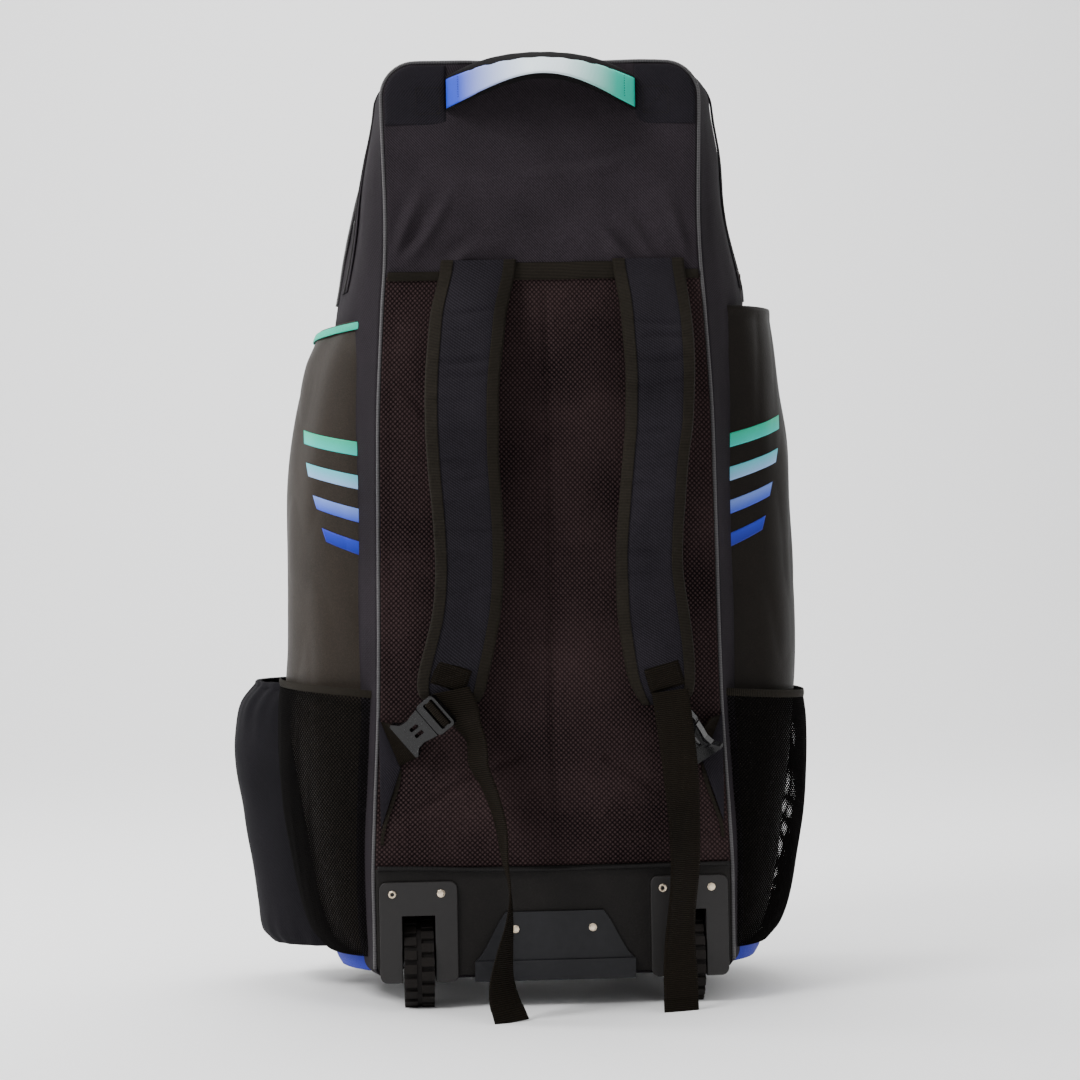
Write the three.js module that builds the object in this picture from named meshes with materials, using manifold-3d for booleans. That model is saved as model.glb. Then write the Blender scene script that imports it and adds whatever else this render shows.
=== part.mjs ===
// Cricket kit bag on two wheels, with a padded backpack harness, standing upright.
// Millimetres, +Z up. The harness side faces -Y, X runs across the bag, and the front is at +Y.
import * as THREE from "three";
import { mergeVertices } from "three/addons/utils/BufferGeometryUtils.js";
import Module from "manifold-3d";

const wasm = await Module();
wasm.setup();

// Clearance between pieces that touch on the real bag
const GAP = 0.3;

// Main body
const BODY_HEIGHT = 951;
const BASE_HEIGHT = 36;
const BACK_WIDTH = 376;
const BODY_WIDTH = 444;
const BODY_DEPTH = 318;
const BODY_WALL = 3;
const SEAM_FLANGE = 13;
const TOP_DROP = 44;
const EDGE_ROUND = 34;
const TOP_CORNER = 37;
const BOTTOM_CORNER = 18;
const FRONT_CROWN = 9;

// Harness side panels
const PANEL_WALL = 3;
const PANEL_INSET = 4;
const MESH_CROWN = 7;
const MESH_CROWN_HALF = 150;
const SEAM_DROP = 223;
const MESH_BOTTOM_UP = 115;
const CENTRE_SEAM_DIP = 2.4;
const TRIM_WALL = 1.6;
const BAND_SIDE_HEIGHT = 9;
const BAND_CENTRE_HEIGHT = 18;
const BAND_CENTRE_LEFT = -30;
const BAND_CENTRE_RIGHT = 78;

// Corded edges
const PIPING_RADIUS = 2.2;
const LID_PIPING_RADIUS = 2.6;
const BASE_PIPING_RADIUS = 2.4;

// Grab handle
const HANDLE_SPAN = 196;
const HANDLE_DROP = 35;
const HANDLE_RISE = 22;
const HANDLE_STANDOFF = 42;
const HANDLE_TILT = 50;
const GRIP_WIDTH = 38;
const GRIP_THICK = 13;
const HANDLE_WEBBING_WIDTH = 30;
const WEBBING_THICK = 1.8;
const HANDLE_PATCH_DROP = 66;

// Shoulder harness
const PAD_WIDTH = 70;
const PAD_THICK = 10;
const PAD_EDGE = 3;
const PAD_LAP = 16;
const PAD_LENGTH = 456;
const PAD_STANDOFF = 46;
const WEBBING_WIDTH = 38;
const STRAP_PATCH_HEIGHT = 25;
const TAIL_LENGTH = 330;
const TAIL_LAP = 9.4;
const ANCHOR_TAB_UP = 157;
const ANCHOR_TAB_HEIGHT = 114;
const ANCHOR_TAB_REACH = 21.5;
const ANCHOR_TAB_THICK = 4;

// Side-release buckles
const BUCKLE_LENGTH = 60;
const BUCKLE_WIDTH = 38.5;
const BUCKLE_EARS = 45;
const BUCKLE_THICK = 7;

// Bat sleeves, pockets and their trims
const SLEEVE_HEIGHT = 694;
const SLEEVE_BULGE = 57;
const SLEEVE_BACK = 28;
const SLEEVE_FRONT_IN = 62;
const SLEEVE_WALL = 2;
const POCKET_BULGE = 9;
const POCKET_HEIGHT = 270;
const POCKET_BACK = 13;
const POCKET_DEPTH_LEFT = 150;
const POCKET_DEPTH_RIGHT = 236;
const POCKET_WALL = 1.8;
const POCKET_BINDING = 7;
const CLOTH_POCKET_BULGE = 63;
const CLOTH_POCKET_HEIGHT = 286;
const CLOTH_POCKET_BACK = 122;
const CLOTH_POCKET_FRONT_IN = 18;
const CLOTH_WALL = 2;
const POCKET_TRIM_HEIGHT = 18;
const POCKET_TRIM_WIDTH = 46;
const POCKET_TRIM_DEPTH = 80;
const SLEEVE_TRIM_HEIGHT = 8;
const SLEEVE_TRIM_DEPTH = 150;
const TRIM_BACK = 20;

// Wheels, housings and base
const WHEEL_RADIUS = 48;
const WHEEL_WIDTH = 31;
const WHEEL_SPREAD = 282;
const WHEEL_SET_IN = 34;
const LUG_COUNT = 20;
const LUG_DEPTH = 3.6;
const LUG_SHARE = 0.62;
const CENTRE_RIB = 5;
const HUB_RADIUS = 31;
const HUB_WIDTH = 25;
const AXLE_RADIUS = 4;
const HOUSING_WIDTH = 81;
const HOUSING_HEIGHT = 105;
const HOUSING_CORNER = 8;
const HOUSING_WALL = 3.2;
const SLOT_WIDTH = 34;
const WHEEL_ROOM = 6;
const KICK_WIDTH = 167;
const KICK_TOP_WIDTH = 102;
const KICK_HEIGHT = 68;
const KICK_BUMPER = 21;
const KICK_LIP = 46;
const FOOT_WIDTH = 64;
const FOOT_DEPTH = 34;
const FOOT_SPREAD = 220;
const FOOT_SET_IN = 34;
const RIVET_RADIUS = 4.5;
const RIVET_HEIGHT = 1.7;

// Zip
const ZIP_WIDTH = 24;
const ZIP_THICK = 1.6;
const LID_PIPING_RISE = 8;
const ZIP_RISE = 20;
const ZIP_END_RISE = 34;
const SLIDER_LENGTH = 15;
const PULL_LENGTH = 32;

const BODY_TOP = BASE_HEIGHT + BODY_HEIGHT;
const BACK_HALF = BACK_WIDTH / 2;
const SLEEVE_HALF = BODY_WIDTH / 2 + SLEEVE_BULGE;
const SLEEVE_DEPTH = BODY_DEPTH - SLEEVE_BACK - SLEEVE_FRONT_IN;
const POCKET_HALF = SLEEVE_HALF + POCKET_BULGE;
const CLOTH_POCKET_HALF = SLEEVE_HALF + CLOTH_POCKET_BULGE;
const CLOTH_POCKET_DEPTH = BODY_DEPTH - CLOTH_POCKET_BACK - CLOTH_POCKET_FRONT_IN;
const RIM_Y = 1;
const PANEL_BACK_Y = -PANEL_WALL;
const TRIM_FRONT_Y = PANEL_BACK_Y - GAP;
const upBody = (up) => BASE_HEIGHT + up;
const radians = THREE.MathUtils.degToRad;
const lerp = THREE.MathUtils.lerp;

// Half widths and depth up the body: shares of the body's height, back width, body width and depth
const BODY_SECTIONS = [
  { up: 0, back: 1, waist: 0.93, depth: 0.98 },
  { up: 0.06, back: 1, waist: 0.985, depth: 1 },
  { up: 0.125, back: 1, waist: 1, depth: 1 },
  { up: 0.3, back: 0.957, waist: 1, depth: 1 },
  { up: 0.525, back: 0.939, waist: 1, depth: 0.98 },
  { up: 0.62, back: 0.93, waist: 1, depth: 0.95 },
  { up: 0.735, back: 0.897, waist: 0.988, depth: 0.9 },
  { up: 0.78, back: 0.88, waist: 0.967, depth: 0.875 },
  { up: 0.834, back: 0.873, waist: 0.928, depth: 0.84 },
  { up: 0.9, back: 0.88, waist: 0.885, depth: 0.79 },
  { up: 0.95, back: 0.885, waist: 0.85, depth: 0.74 },
  { up: 1, back: 0.885, waist: 0.82, depth: 0.69 },
];

// Rings from the back rim to the front edge: share of the depth, of the way from back width to body
// width, of the drop of the top, and of the rounding of the front edge
const BODY_RINGS = [
  { out: 0, spread: 0, drop: 0, round: 0 },
  { out: 0.09, spread: 0.42, drop: 0.02, round: 0 },
  { out: 0.2, spread: 0.75, drop: 0.06, round: 0 },
  { out: 0.4, spread: 1, drop: 0.16, round: 0 },
  { out: 0.66, spread: 1, drop: 0.4, round: 0 },
  { out: 0.86, spread: 0.94, drop: 0.72, round: 0.08 },
  { out: 0.95, spread: 0.86, drop: 0.88, round: 0.4 },
  { out: 1, spread: 0.76, drop: 1, round: 1 },
];

// Soft dents of the body's sides: height share, depth share, reach in both, and depth of the dent
const BODY_DENTS = [
  { side: -1, up: 0.8, out: 0.3, reach: 0.05, sink: 5 },
  { side: -1, up: 0.9, out: 0.5, reach: 0.05, sink: 4 },
  { side: 1, up: 0.84, out: 0.36, reach: 0.06, sink: 5 },
  { side: 1, up: 0.93, out: 0.6, reach: 0.05, sink: 4 },
];

// Shares of the straight part of a side at which the rings have a point
const SIDE_STATIONS = [0, 0.14, 0.34, 0.56, 0.72, 0.82, 0.91, 1];

// Soft folds of the upper back panel: place, half length and lean of each ridge, and its height
const PANEL_FOLDS = [
  { across: -0.76, up: 0.13, half: 34, lean: 64, rise: 3.4 },
  { across: -0.62, up: 0.2, half: 30, lean: 58, rise: 2.6 },
  { across: -0.45, up: 0.06, half: 22, lean: 35, rise: 3.2 },
  { across: 0.44, up: 0.07, half: 22, lean: -52, rise: 3 },
  { across: 0.72, up: 0.16, half: 30, lean: -70, rise: 2.2 },
];

// Outline of a bat sleeve: height share and share of its greatest half width
const SLEEVE_SECTIONS = [
  { up: 0, out: 0.8 },
  { up: 0.03, out: 0.836 },
  { up: 0.1, out: 0.89 },
  { up: 0.25, out: 0.947 },
  { up: 0.42, out: 0.995 },
  { up: 0.7, out: 0.99 },
  { up: 0.82, out: 0.972 },
  { up: 0.89, out: 0.945 },
  { up: 0.945, out: 0.918 },
  { up: 0.98, out: 0.895 },
  { up: 1, out: 0.862 },
];

// Outline of a mesh pocket: height share and share of its greatest half width
const MESH_SECTIONS = [
  { up: 0, out: 0.835 },
  { up: 0.06, out: 0.885 },
  { up: 0.17, out: 0.925 },
  { up: 0.33, out: 0.957 },
  { up: 0.52, out: 0.985 },
  { up: 0.73, out: 1 },
  { up: 0.9, out: 0.997 },
  { up: 1, out: 0.985 },
];

// Outline of the gathered cloth pocket: height share and share of its greatest half width
const CLOTH_SECTIONS = [
  { up: 0, out: 0.885 },
  { up: 0.04, out: 0.915 },
  { up: 0.14, out: 0.93 },
  { up: 0.3, out: 0.95 },
  { up: 0.5, out: 0.975 },
  { up: 0.68, out: 0.998 },
  { up: 0.82, out: 0.995 },
  { up: 0.92, out: 0.972 },
  { up: 1, out: 0.915 },
];

// Shoulder pads: share of the length down, centre line as a share of the half back width, shares of
// the width and of the standoff, and the height that a wrinkle adds to the padding
const PAD_LEFT_ROWS = [
  { down: 0, across: -0.3564, width: 1.06, off: 0, ripple: 0 },
  { down: 0.035, across: -0.3697, width: 1.06, off: 0.045, ripple: 0 },
  { down: 0.12, across: -0.4176, width: 1.07, off: 0.4, ripple: -0.6 },
  { down: 0.19, across: -0.4415, width: 1.06, off: 0.72, ripple: 0.9 },
  { down: 0.25, across: -0.4601, width: 1.05, off: 0.86, ripple: -0.8 },
  { down: 0.31, across: -0.4707, width: 1.04, off: 0.94, ripple: 0.7 },
  { down: 0.38, across: -0.4734, width: 1.03, off: 0.99, ripple: 0 },
  { down: 0.44, across: -0.4707, width: 1, off: 1, ripple: 1 },
  { down: 0.5, across: -0.4628, width: 0.99, off: 1, ripple: -0.9 },
  { down: 0.56, across: -0.4521, width: 0.97, off: 0.98, ripple: 0.9 },
  { down: 0.63, across: -0.4447, width: 0.96, off: 0.95, ripple: -0.5 },
  { down: 0.71, across: -0.4457, width: 0.94, off: 0.88, ripple: 0.3 },
  { down: 0.8, across: -0.4654, width: 0.95, off: 0.76, ripple: 0 },
  { down: 0.87, across: -0.5, width: 0.98, off: 0.64, ripple: 0 },
  { down: 0.94, across: -0.5399, width: 0.99, off: 0.48, ripple: 0 },
  { down: 0.98, across: -0.5532, width: 0.92, off: 0.44, ripple: 0 },
  { down: 1, across: -0.5479, width: 0.74, off: 0.42, ripple: 0 },
];
const PAD_RIGHT_ROWS = [
  { down: 0, across: 0.5798, width: 1, off: 0, ripple: 0 },
  { down: 0.035, across: 0.5878, width: 1, off: 0.045, ripple: 0 },
  { down: 0.12, across: 0.6064, width: 0.99, off: 0.4, ripple: 0.8 },
  { down: 0.19, across: 0.6117, width: 0.98, off: 0.72, ripple: -0.8 },
  { down: 0.25, across: 0.6144, width: 0.97, off: 0.86, ripple: 0.9 },
  { down: 0.31, across: 0.6117, width: 0.96, off: 0.94, ripple: -0.6 },
  { down: 0.38, across: 0.6037, width: 0.94, off: 0.99, ripple: 0.9 },
  { down: 0.44, across: 0.5851, width: 0.92, off: 1, ripple: -0.8 },
  { down: 0.5, across: 0.5691, width: 0.92, off: 1, ripple: 1 },
  { down: 0.56, across: 0.5559, width: 0.93, off: 0.98, ripple: -0.9 },
  { down: 0.63, across: 0.5426, width: 0.93, off: 0.95, ripple: 0.9 },
  { down: 0.71, across: 0.5372, width: 0.94, off: 0.88, ripple: 0 },
  { down: 0.8, across: 0.5559, width: 1, off: 0.76, ripple: 0 },
  { down: 0.88, across: 0.5798, width: 1, off: 0.64, ripple: 0 },
  { down: 0.95, across: 0.6011, width: 0.94, off: 0.54, ripple: 0 },
  { down: 0.99, across: 0.6144, width: 0.8, off: 0.49, ripple: 0 },
  { down: 1.015, across: 0.609, width: 0.56, off: 0.47, ripple: 0 },
];

// Free webbing tails: share of the length down, centre line as a share of the half back width,
// distance behind the back panel as a share of the pads' standoff, lean of the width in the back
// plane and turn of the width about the upright, in degrees
const TAIL_LEFT_ROWS = [
  { down: -0.01, across: -0.5559, off: 0.7826, lean: -4, turn: 0 },
  { down: 0.037, across: -0.5133, off: 0.7935, lean: -10, turn: -12 },
  { down: 0.083, across: -0.4787, off: 0.8478, lean: -8, turn: -38 },
  { down: 0.136, across: -0.4282, off: 0.9348, lean: -4, turn: -60 },
  { down: 0.18, across: -0.4176, off: 1, lean: 0, turn: -62 },
  { down: 0.22, across: -0.4149, off: 1.0652, lean: 0, turn: -62 },
  { down: 0.3, across: -0.3564, off: 1.1087, lean: 0, turn: -69 },
  { down: 0.4, across: -0.3085, off: 1.1739, lean: 0, turn: -75 },
  { down: 0.51, across: -0.2872, off: 1.2609, lean: 0, turn: -84 },
  { down: 0.6, across: -0.2606, off: 1.3478, lean: 0, turn: -92 },
  { down: 0.7, across: -0.266, off: 1.4565, lean: 0, turn: -103 },
  { down: 0.79, across: -0.2926, off: 1.5652, lean: 0, turn: -117 },
  { down: 0.87, across: -0.3112, off: 1.6522, lean: 0, turn: -130 },
  { down: 0.93, across: -0.3032, off: 1.7174, lean: 0, turn: -144 },
  { down: 1, across: -0.266, off: 1.8043, lean: 0, turn: -158 },
];
const TAIL_RIGHT_ROWS = [
  { down: 0.005, across: 0.641, off: 0.8391, lean: 8, turn: 0 },
  { down: 0.06, across: 0.6516, off: 0.9239, lean: 4, turn: 2 },
  { down: 0.14, across: 0.6676, off: 0.9783, lean: 0, turn: 6 },
  { down: 0.26, across: 0.6888, off: 0.9783, lean: 0, turn: 14 },
  { down: 0.4, across: 0.7048, off: 0.8913, lean: 0, turn: 26 },
  { down: 0.54, across: 0.7064, off: 0.8913, lean: 0, turn: 33 },
  { down: 0.68, across: 0.6835, off: 0.913, lean: 0, turn: 37 },
  { down: 0.79, across: 0.6686, off: 0.9565, lean: 0, turn: 30 },
  { down: 0.9, across: 0.6681, off: 1, lean: 0, turn: 19 },
  { down: 1, across: 0.6718, off: 1.0435, lean: 0, turn: 17 },
];

// Value of one column of a table at a share of its height, straight between rows
function tableAt(table, key, column, share) {
  const last = table.length - 1;
  if (share <= table[0][key]) return table[0][column];
  if (share >= table[last][key]) return table[last][column];
  const next = table.findIndex((row) => row[key] > share);
  const low = table[next - 1];
  const high = table[next];
  return lerp(low[column], high[column], (share - low[key]) / (high[key] - low[key]));
}

// Closed triangle mesh to a solid: merges vertices, drops collapsed faces and turns all faces out
function solidOf(geometry) {
  const bare = new THREE.BufferGeometry();
  bare.setAttribute("position", geometry.getAttribute("position").clone());
  if (geometry.index) bare.setIndex(geometry.index.clone());
  const merged = mergeVertices(bare, 1e-4);
  const places = merged.getAttribute("position").array;
  const faces = [];
  let volume = 0;
  for (let i = 0; i < merged.index.count; i += 3) {
    const [a, b, c] = [0, 1, 2].map((k) => merged.index.getX(i + k));
    if (a === b || b === c || a === c) continue;
    faces.push([a, b, c]);
    const corners = [a, b, c].map((k) => new THREE.Vector3().fromArray(places, k * 3));
    volume += corners[0].dot(corners[1].cross(corners[2]));
  }
  const turned = volume < 0 ? faces.map(([a, b, c]) => [a, c, b]) : faces;
  const mesh = new wasm.Mesh({
    numProp: 3,
    vertProperties: new Float32Array(places),
    triVerts: new Uint32Array(turned.flat()),
  });
  return new wasm.Manifold(mesh);
}

// Solid back to a three.js geometry, keeping its largest body where a cut leaves crumbs
function geometryOf(solid) {
  const bodies = solid.decompose().sort((a, b) => b.volume() - a.volume());
  const mesh = bodies[0].getMesh();
  const geometry = new THREE.BufferGeometry();
  geometry.setAttribute("position", new THREE.BufferAttribute(mesh.vertProperties, 3));
  geometry.setIndex(new THREE.BufferAttribute(mesh.triVerts, 1));
  geometry.computeVertexNormals();
  return geometry;
}

// Closed solid through rings of equal point counts; each end is closed by a ladder between the two
// halves of its ring, and the faces of the two halves are split alike
function loft(rings) {
  const count = rings[0].length;
  const places = rings.flat().flatMap((p) => [p.x, p.y, p.z]);
  const faces = [];
  for (let r = 0; r < rings.length - 1; r++) {
    for (let k = 0; k < count; k++) {
      const a = r * count + k;
      const b = r * count + ((k + 1) % count);
      if (k < count / 2) faces.push(a, a + count, b + count, a, b + count, b);
      else faces.push(a, a + count, b, b, a + count, b + count);
    }
  }
  const ladder = (start, flip) => {
    for (let i = 0; i < count / 2 - 1; i++) {
      const quad = [start + i, start + i + 1, start + count - 2 - i, start + count - 1 - i];
      if (flip) quad.reverse();
      faces.push(quad[0], quad[1], quad[2], quad[0], quad[2], quad[3]);
    }
  };
  ladder(0, false);
  ladder((rings.length - 1) * count, true);
  const geometry = new THREE.BufferGeometry();
  geometry.setAttribute("position", new THREE.Float32BufferAttribute(places, 3));
  geometry.setIndex(faces);
  return solidOf(geometry);
}

// Flat plate in the back plane: a shape drawn in X and Z, with its front face at frontY
function backPlate(shape, thickness, frontY, segments = 4) {
  const options = { depth: thickness, bevelEnabled: false, curveSegments: segments };
  const geometry = new THREE.ExtrudeGeometry(shape, options);
  geometry.rotateX(Math.PI / 2);
  geometry.translate(0, frontY, 0);
  return solidOf(geometry);
}

// Plate across the bag: a shape drawn in Y and Z, centred on acrossX
function crossPlate(shape, width, acrossX, segments = 6) {
  const options = { depth: width, bevelEnabled: false, curveSegments: segments };
  const geometry = new THREE.ExtrudeGeometry(shape, options);
  geometry.applyMatrix4(
    new THREE.Matrix4().set(0, 0, 1, acrossX - width / 2, 1, 0, 0, 0, 0, 1, 0, 0, 0, 0, 0, 1),
  );
  return solidOf(geometry);
}

function box(width, depth, height, x, y, z) {
  const geometry = new THREE.BoxGeometry(width, depth, height);
  geometry.translate(x, y, z);
  return solidOf(geometry);
}

// Round cord of six sides along a row of points that lies nearly in one upright plane across the bag
function cord(points, radius) {
  const depthwise = new THREE.Vector3(0, 1, 0);
  const rings = points.map((point, i) => {
    const before = points[Math.max(i - 1, 0)];
    const after = points[Math.min(i + 1, points.length - 1)];
    const along = after.clone().sub(before).normalize();
    const outward = new THREE.Vector3().crossVectors(along, depthwise).normalize();
    return [30, 90, 150, 210, 270, 330].map((degrees) => {
      const angle = radians(degrees);
      return point
        .clone()
        .addScaledVector(outward, radius * Math.cos(angle))
        .addScaledVector(depthwise, radius * Math.sin(angle));
    });
  });
  return loft(rings);
}

function roundedShape(width, height, corner, x = 0, z = 0) {
  const shape = new THREE.Shape();
  const right = x + width / 2;
  const left = x - width / 2;
  const top = z + height;
  shape.moveTo(left + corner, z);
  shape.lineTo(right - corner, z);
  shape.absarc(right - corner, z + corner, corner, -Math.PI / 2, 0);
  shape.lineTo(right, top - corner);
  shape.absarc(right - corner, top - corner, corner, 0, Math.PI / 2);
  shape.lineTo(left + corner, top);
  shape.absarc(left + corner, top - corner, corner, Math.PI / 2, Math.PI);
  shape.lineTo(left, z + corner);
  shape.absarc(left + corner, z + corner, corner, Math.PI, Math.PI * 1.5);
  return shape;
}

// Body surface

const bodyShare = (z) => (z - BASE_HEIGHT) / BODY_HEIGHT;
const depthAt = (z) => BODY_DEPTH * tableAt(BODY_SECTIONS, "up", "depth", bodyShare(z));

function halfAt(z, spread, out, side) {
  const share = bodyShare(z);
  const back = (BACK_WIDTH / 2) * tableAt(BODY_SECTIONS, "up", "back", share);
  const waist = (BODY_WIDTH / 2) * tableAt(BODY_SECTIONS, "up", "waist", share);
  const dent = BODY_DENTS.filter((row) => row.side === side).reduce((sum, row) => {
    const away = Math.hypot(share - row.up, (out - row.out) * 0.35) / row.reach;
    return sum + row.sink * Math.exp(-away * away);
  }, 0);
  return lerp(back, waist, spread) - dent;
}

// Half width of the body's outline at a depth share
function bodyHalf(z, out, side) {
  return halfAt(z, tableAt(BODY_RINGS, "out", "spread", out), out, side);
}

// One ring of the body, drawn inset from its true surface; the two halves run in step for a ladder
function bodyRing(row, inset, y) {
  const shrink = inset + row.round * EDGE_ROUND;
  const top = BODY_TOP - row.drop * TOP_DROP - shrink;
  const bottom = BASE_HEIGHT + shrink;
  const low = Math.max(BOTTOM_CORNER - inset, 6);
  const high = Math.max(TOP_CORNER - inset, 12);
  const half = (z, side) => halfAt(z, row.spread, row.out, side) - shrink;
  const sidePoints = (side) => {
    const corner = (angle, centreZ, radius, z) => ({
      x: half(z, side) - radius + radius * Math.cos(angle),
      z: centreZ + radius * Math.sin(angle),
    });
    const lowPoints = [-90, -45].map((degrees) =>
      corner(radians(degrees), bottom + low, low, bottom + low),
    );
    const flank = SIDE_STATIONS.map((share) => {
      const z = lerp(bottom + low, top - high, share);
      return { x: half(z, side), z };
    });
    const highPoints = [30, 60, 90].map((degrees) =>
      corner(radians(degrees), top - high, high, top - high),
    );
    const inner = (from) => ({ x: from.x * 0.4, z: from.z });
    const list = [...lowPoints, ...flank, ...highPoints];
    return [inner(list[0]), ...list, inner(list[list.length - 1])];
  };
  const placed = (side) => ({ x, z }) =>
    new THREE.Vector3(side * x, y ?? RIM_Y + row.out * (depthAt(z) - inset - RIM_Y), z);
  return [...sidePoints(1).map(placed(1)), ...sidePoints(-1).map(placed(-1)).reverse()];
}

// Front face of the body: the last ring drawn in to a narrow one, with a soft crown
function frontRings(lastRing, crown) {
  const centreZ = (Math.min(...lastRing.map((p) => p.z)) + Math.max(...lastRing.map((p) => p.z))) / 2;
  return [
    { across: 0.6, up: 0.94, rise: 0.75 },
    { across: 0.2, up: 0.88, rise: 1 },
  ].map(({ across, up, rise }) =>
    lastRing.map((p) => {
      const z = centreZ + (p.z - centreZ) * up;
      return new THREE.Vector3(p.x * across, p.y + depthAt(z) - depthAt(p.z) + crown * rise, z);
    }),
  );
}

// Whole body filled to its surface, grown by an amount, for fitting the pieces that lie on it
function bodyFilled(grow) {
  const rings = BODY_RINGS.map((row) => bodyRing(row, -grow));
  const backwards = bodyRing(BODY_RINGS[0], -grow, RIM_Y - grow);
  return loft([backwards, ...rings, ...frontRings(rings[rings.length - 1], FRONT_CROWN + grow)]);
}

// Tub: outer rings from the rim to the front, then inner rings back to the rim, which has a seam flange
function mainShell() {
  const outer = BODY_RINGS.map((row) => bodyRing(row, 0));
  const filled = loft([...outer, ...frontRings(outer[outer.length - 1], FRONT_CROWN)]);
  const inside = BODY_RINGS.slice(1).map((row) => bodyRing(row, BODY_WALL));
  const flangeEnd = RIM_Y + BODY_WALL;
  const hollow = loft([
    bodyRing(BODY_RINGS[0], BODY_WALL, flangeEnd),
    ...inside,
    ...frontRings(inside[inside.length - 1], FRONT_CROWN),
  ]);
  const mouth = loft([
    bodyRing(BODY_RINGS[0], SEAM_FLANGE, RIM_Y - 1),
    bodyRing(BODY_RINGS[0], SEAM_FLANGE, flangeEnd + 2),
  ]);
  return filled.subtract(hollow).subtract(mouth);
}

const bodyFit = bodyFilled(GAP);

// Harness side panels

// Half width of the back outline at a height, drawn in by an inset, with the round top corners
function backOutlineHalf(z, inset, side = 1) {
  const half = halfAt(z, 0, 0, side) - inset;
  const corner = TOP_CORNER - inset;
  const over = z - (BODY_TOP - TOP_CORNER);
  if (over <= 0) return half;
  return half - corner + Math.sqrt(Math.max(corner * corner - over * over, 0));
}

// Panel lofted up the back plane: a row of points across its back face, then back along its front
function panel(heights, columns, inset, backOf, frontY) {
  const rings = heights.map((z) => {
    const half = backOutlineHalf(z, inset);
    const across = Array.from({ length: columns + 1 }, (_, i) => lerp(-half, half, i / columns));
    const back = across.map((x) => new THREE.Vector3(x, backOf(x, z), z));
    const front = across.map((x) => new THREE.Vector3(x, frontY, z)).reverse();
    return [...back, ...front];
  });
  return loft(rings);
}

const seamZ = BODY_TOP - SEAM_DROP;
const meshBottomZ = upBody(MESH_BOTTOM_UP);

function foldRise(x, z, bottom, top) {
  const nearEdge = Math.min((backOutlineHalf(z, PANEL_INSET) - Math.abs(x)) / 12, (z - bottom) / 12, 1);
  const folds = PANEL_FOLDS.reduce((sum, fold) => {
    const centreX = (fold.across * BACK_WIDTH) / 2;
    const centreZ = lerp(bottom, top, fold.up);
    const angle = radians(fold.lean);
    const lengthwise = ((x - centreX) * Math.cos(angle) + (z - centreZ) * Math.sin(angle)) / fold.half;
    const sideways = ((z - centreZ) * Math.cos(angle) - (x - centreX) * Math.sin(angle)) / 9;
    return sum + fold.rise * Math.exp(-lengthwise * lengthwise - sideways * sideways);
  }, 0);
  return folds * Math.max(nearEdge, 0);
}

function backPanelUpper() {
  const bottom = seamZ + GAP;
  const top = BODY_TOP - PANEL_INSET;
  const straightTop = BODY_TOP - TOP_CORNER;
  const straight = [0, 0.09, 0.17, 0.25, 0.35, 0.5, 0.75, 1];
  const round = [25, 50, 70, 84];
  const heights = [
    ...straight.map((share) => lerp(bottom, straightTop, share)),
    ...round.map((degrees) => straightTop + (top - straightTop) * Math.sin(radians(degrees))),
  ];
  const foldsFrom = bottom + BAND_CENTRE_HEIGHT - BAND_SIDE_HEIGHT / 2;
  const backOf = (x, z) => PANEL_BACK_Y - foldRise(x, z, foldsFrom, straightTop);
  return panel(heights, 10, PANEL_INSET, backOf, RIM_Y - 0.5);
}

const meshCrown = (x, z) => {
  const across = Math.max(1 - (Math.abs(x) / MESH_CROWN_HALF) ** 4, 0);
  const ends = Math.min((z - meshBottomZ - 14) / 60, (seamZ - 22 - z) / 60, 1);
  const dip = CENTRE_SEAM_DIP * Math.exp(-((x / 7) ** 2));
  return across * Math.max(ends, 0) ** 0.6 * (MESH_CROWN - dip);
};

function backPanelMesh() {
  const shares = [0, 0.024, 0.06, 0.14, 0.36, 0.62, 0.85, 0.93, 0.967, 1];
  const heights = shares.map((share) => lerp(meshBottomZ, seamZ, share));
  const acrossShares = [-1, -0.84, -0.68, -0.42, -0.07, 0, 0.07, 0.42, 0.68, 0.84, 1];
  const rings = heights.map((z) => {
    const across = acrossShares.map((share) => share * backOutlineHalf(z, PANEL_INSET));
    const back = across.map((x) => new THREE.Vector3(x, PANEL_BACK_Y - meshCrown(x, z), z));
    const front = across.map((x) => new THREE.Vector3(x, RIM_Y - 0.5, z)).reverse();
    return [...back, ...front];
  });
  return loft(rings);
}

function topBand() {
  const side = backOutlineHalf(seamZ, PANEL_INSET + 1);
  const low = seamZ - BAND_SIDE_HEIGHT / 2;
  const high = low + BAND_SIDE_HEIGHT;
  const raised = low + BAND_CENTRE_HEIGHT;
  const shape = new THREE.Shape();
  shape.moveTo(-side, low);
  shape.lineTo(side, low);
  shape.lineTo(side, high);
  shape.lineTo(BAND_CENTRE_RIGHT, high);
  shape.lineTo(BAND_CENTRE_RIGHT, raised);
  shape.lineTo(BAND_CENTRE_LEFT, raised);
  shape.lineTo(BAND_CENTRE_LEFT, high);
  shape.lineTo(-side, high);
  return backPlate(shape, TRIM_WALL, TRIM_FRONT_Y);
}

// Wheel wells: a slot room round the wheel, seen from the side, open at the back and below
const wheelCentreY = WHEEL_SET_IN;
const wellRadius = WHEEL_RADIUS + WHEEL_ROOM;

function wellShape(grow, backY, bottomZ) {
  const radius = wellRadius + grow;
  const shape = new THREE.Shape();
  shape.moveTo(backY, bottomZ);
  shape.lineTo(wheelCentreY + radius, bottomZ);
  shape.lineTo(wheelCentreY + radius, WHEEL_RADIUS);
  shape.absarc(wheelCentreY, WHEEL_RADIUS, radius, 0, Math.PI / 2);
  shape.lineTo(backY, WHEEL_RADIUS + radius);
  return shape;
}

const wellBackY = -30;
const wellBottomZ = BASE_HEIGHT - 30;

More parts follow.
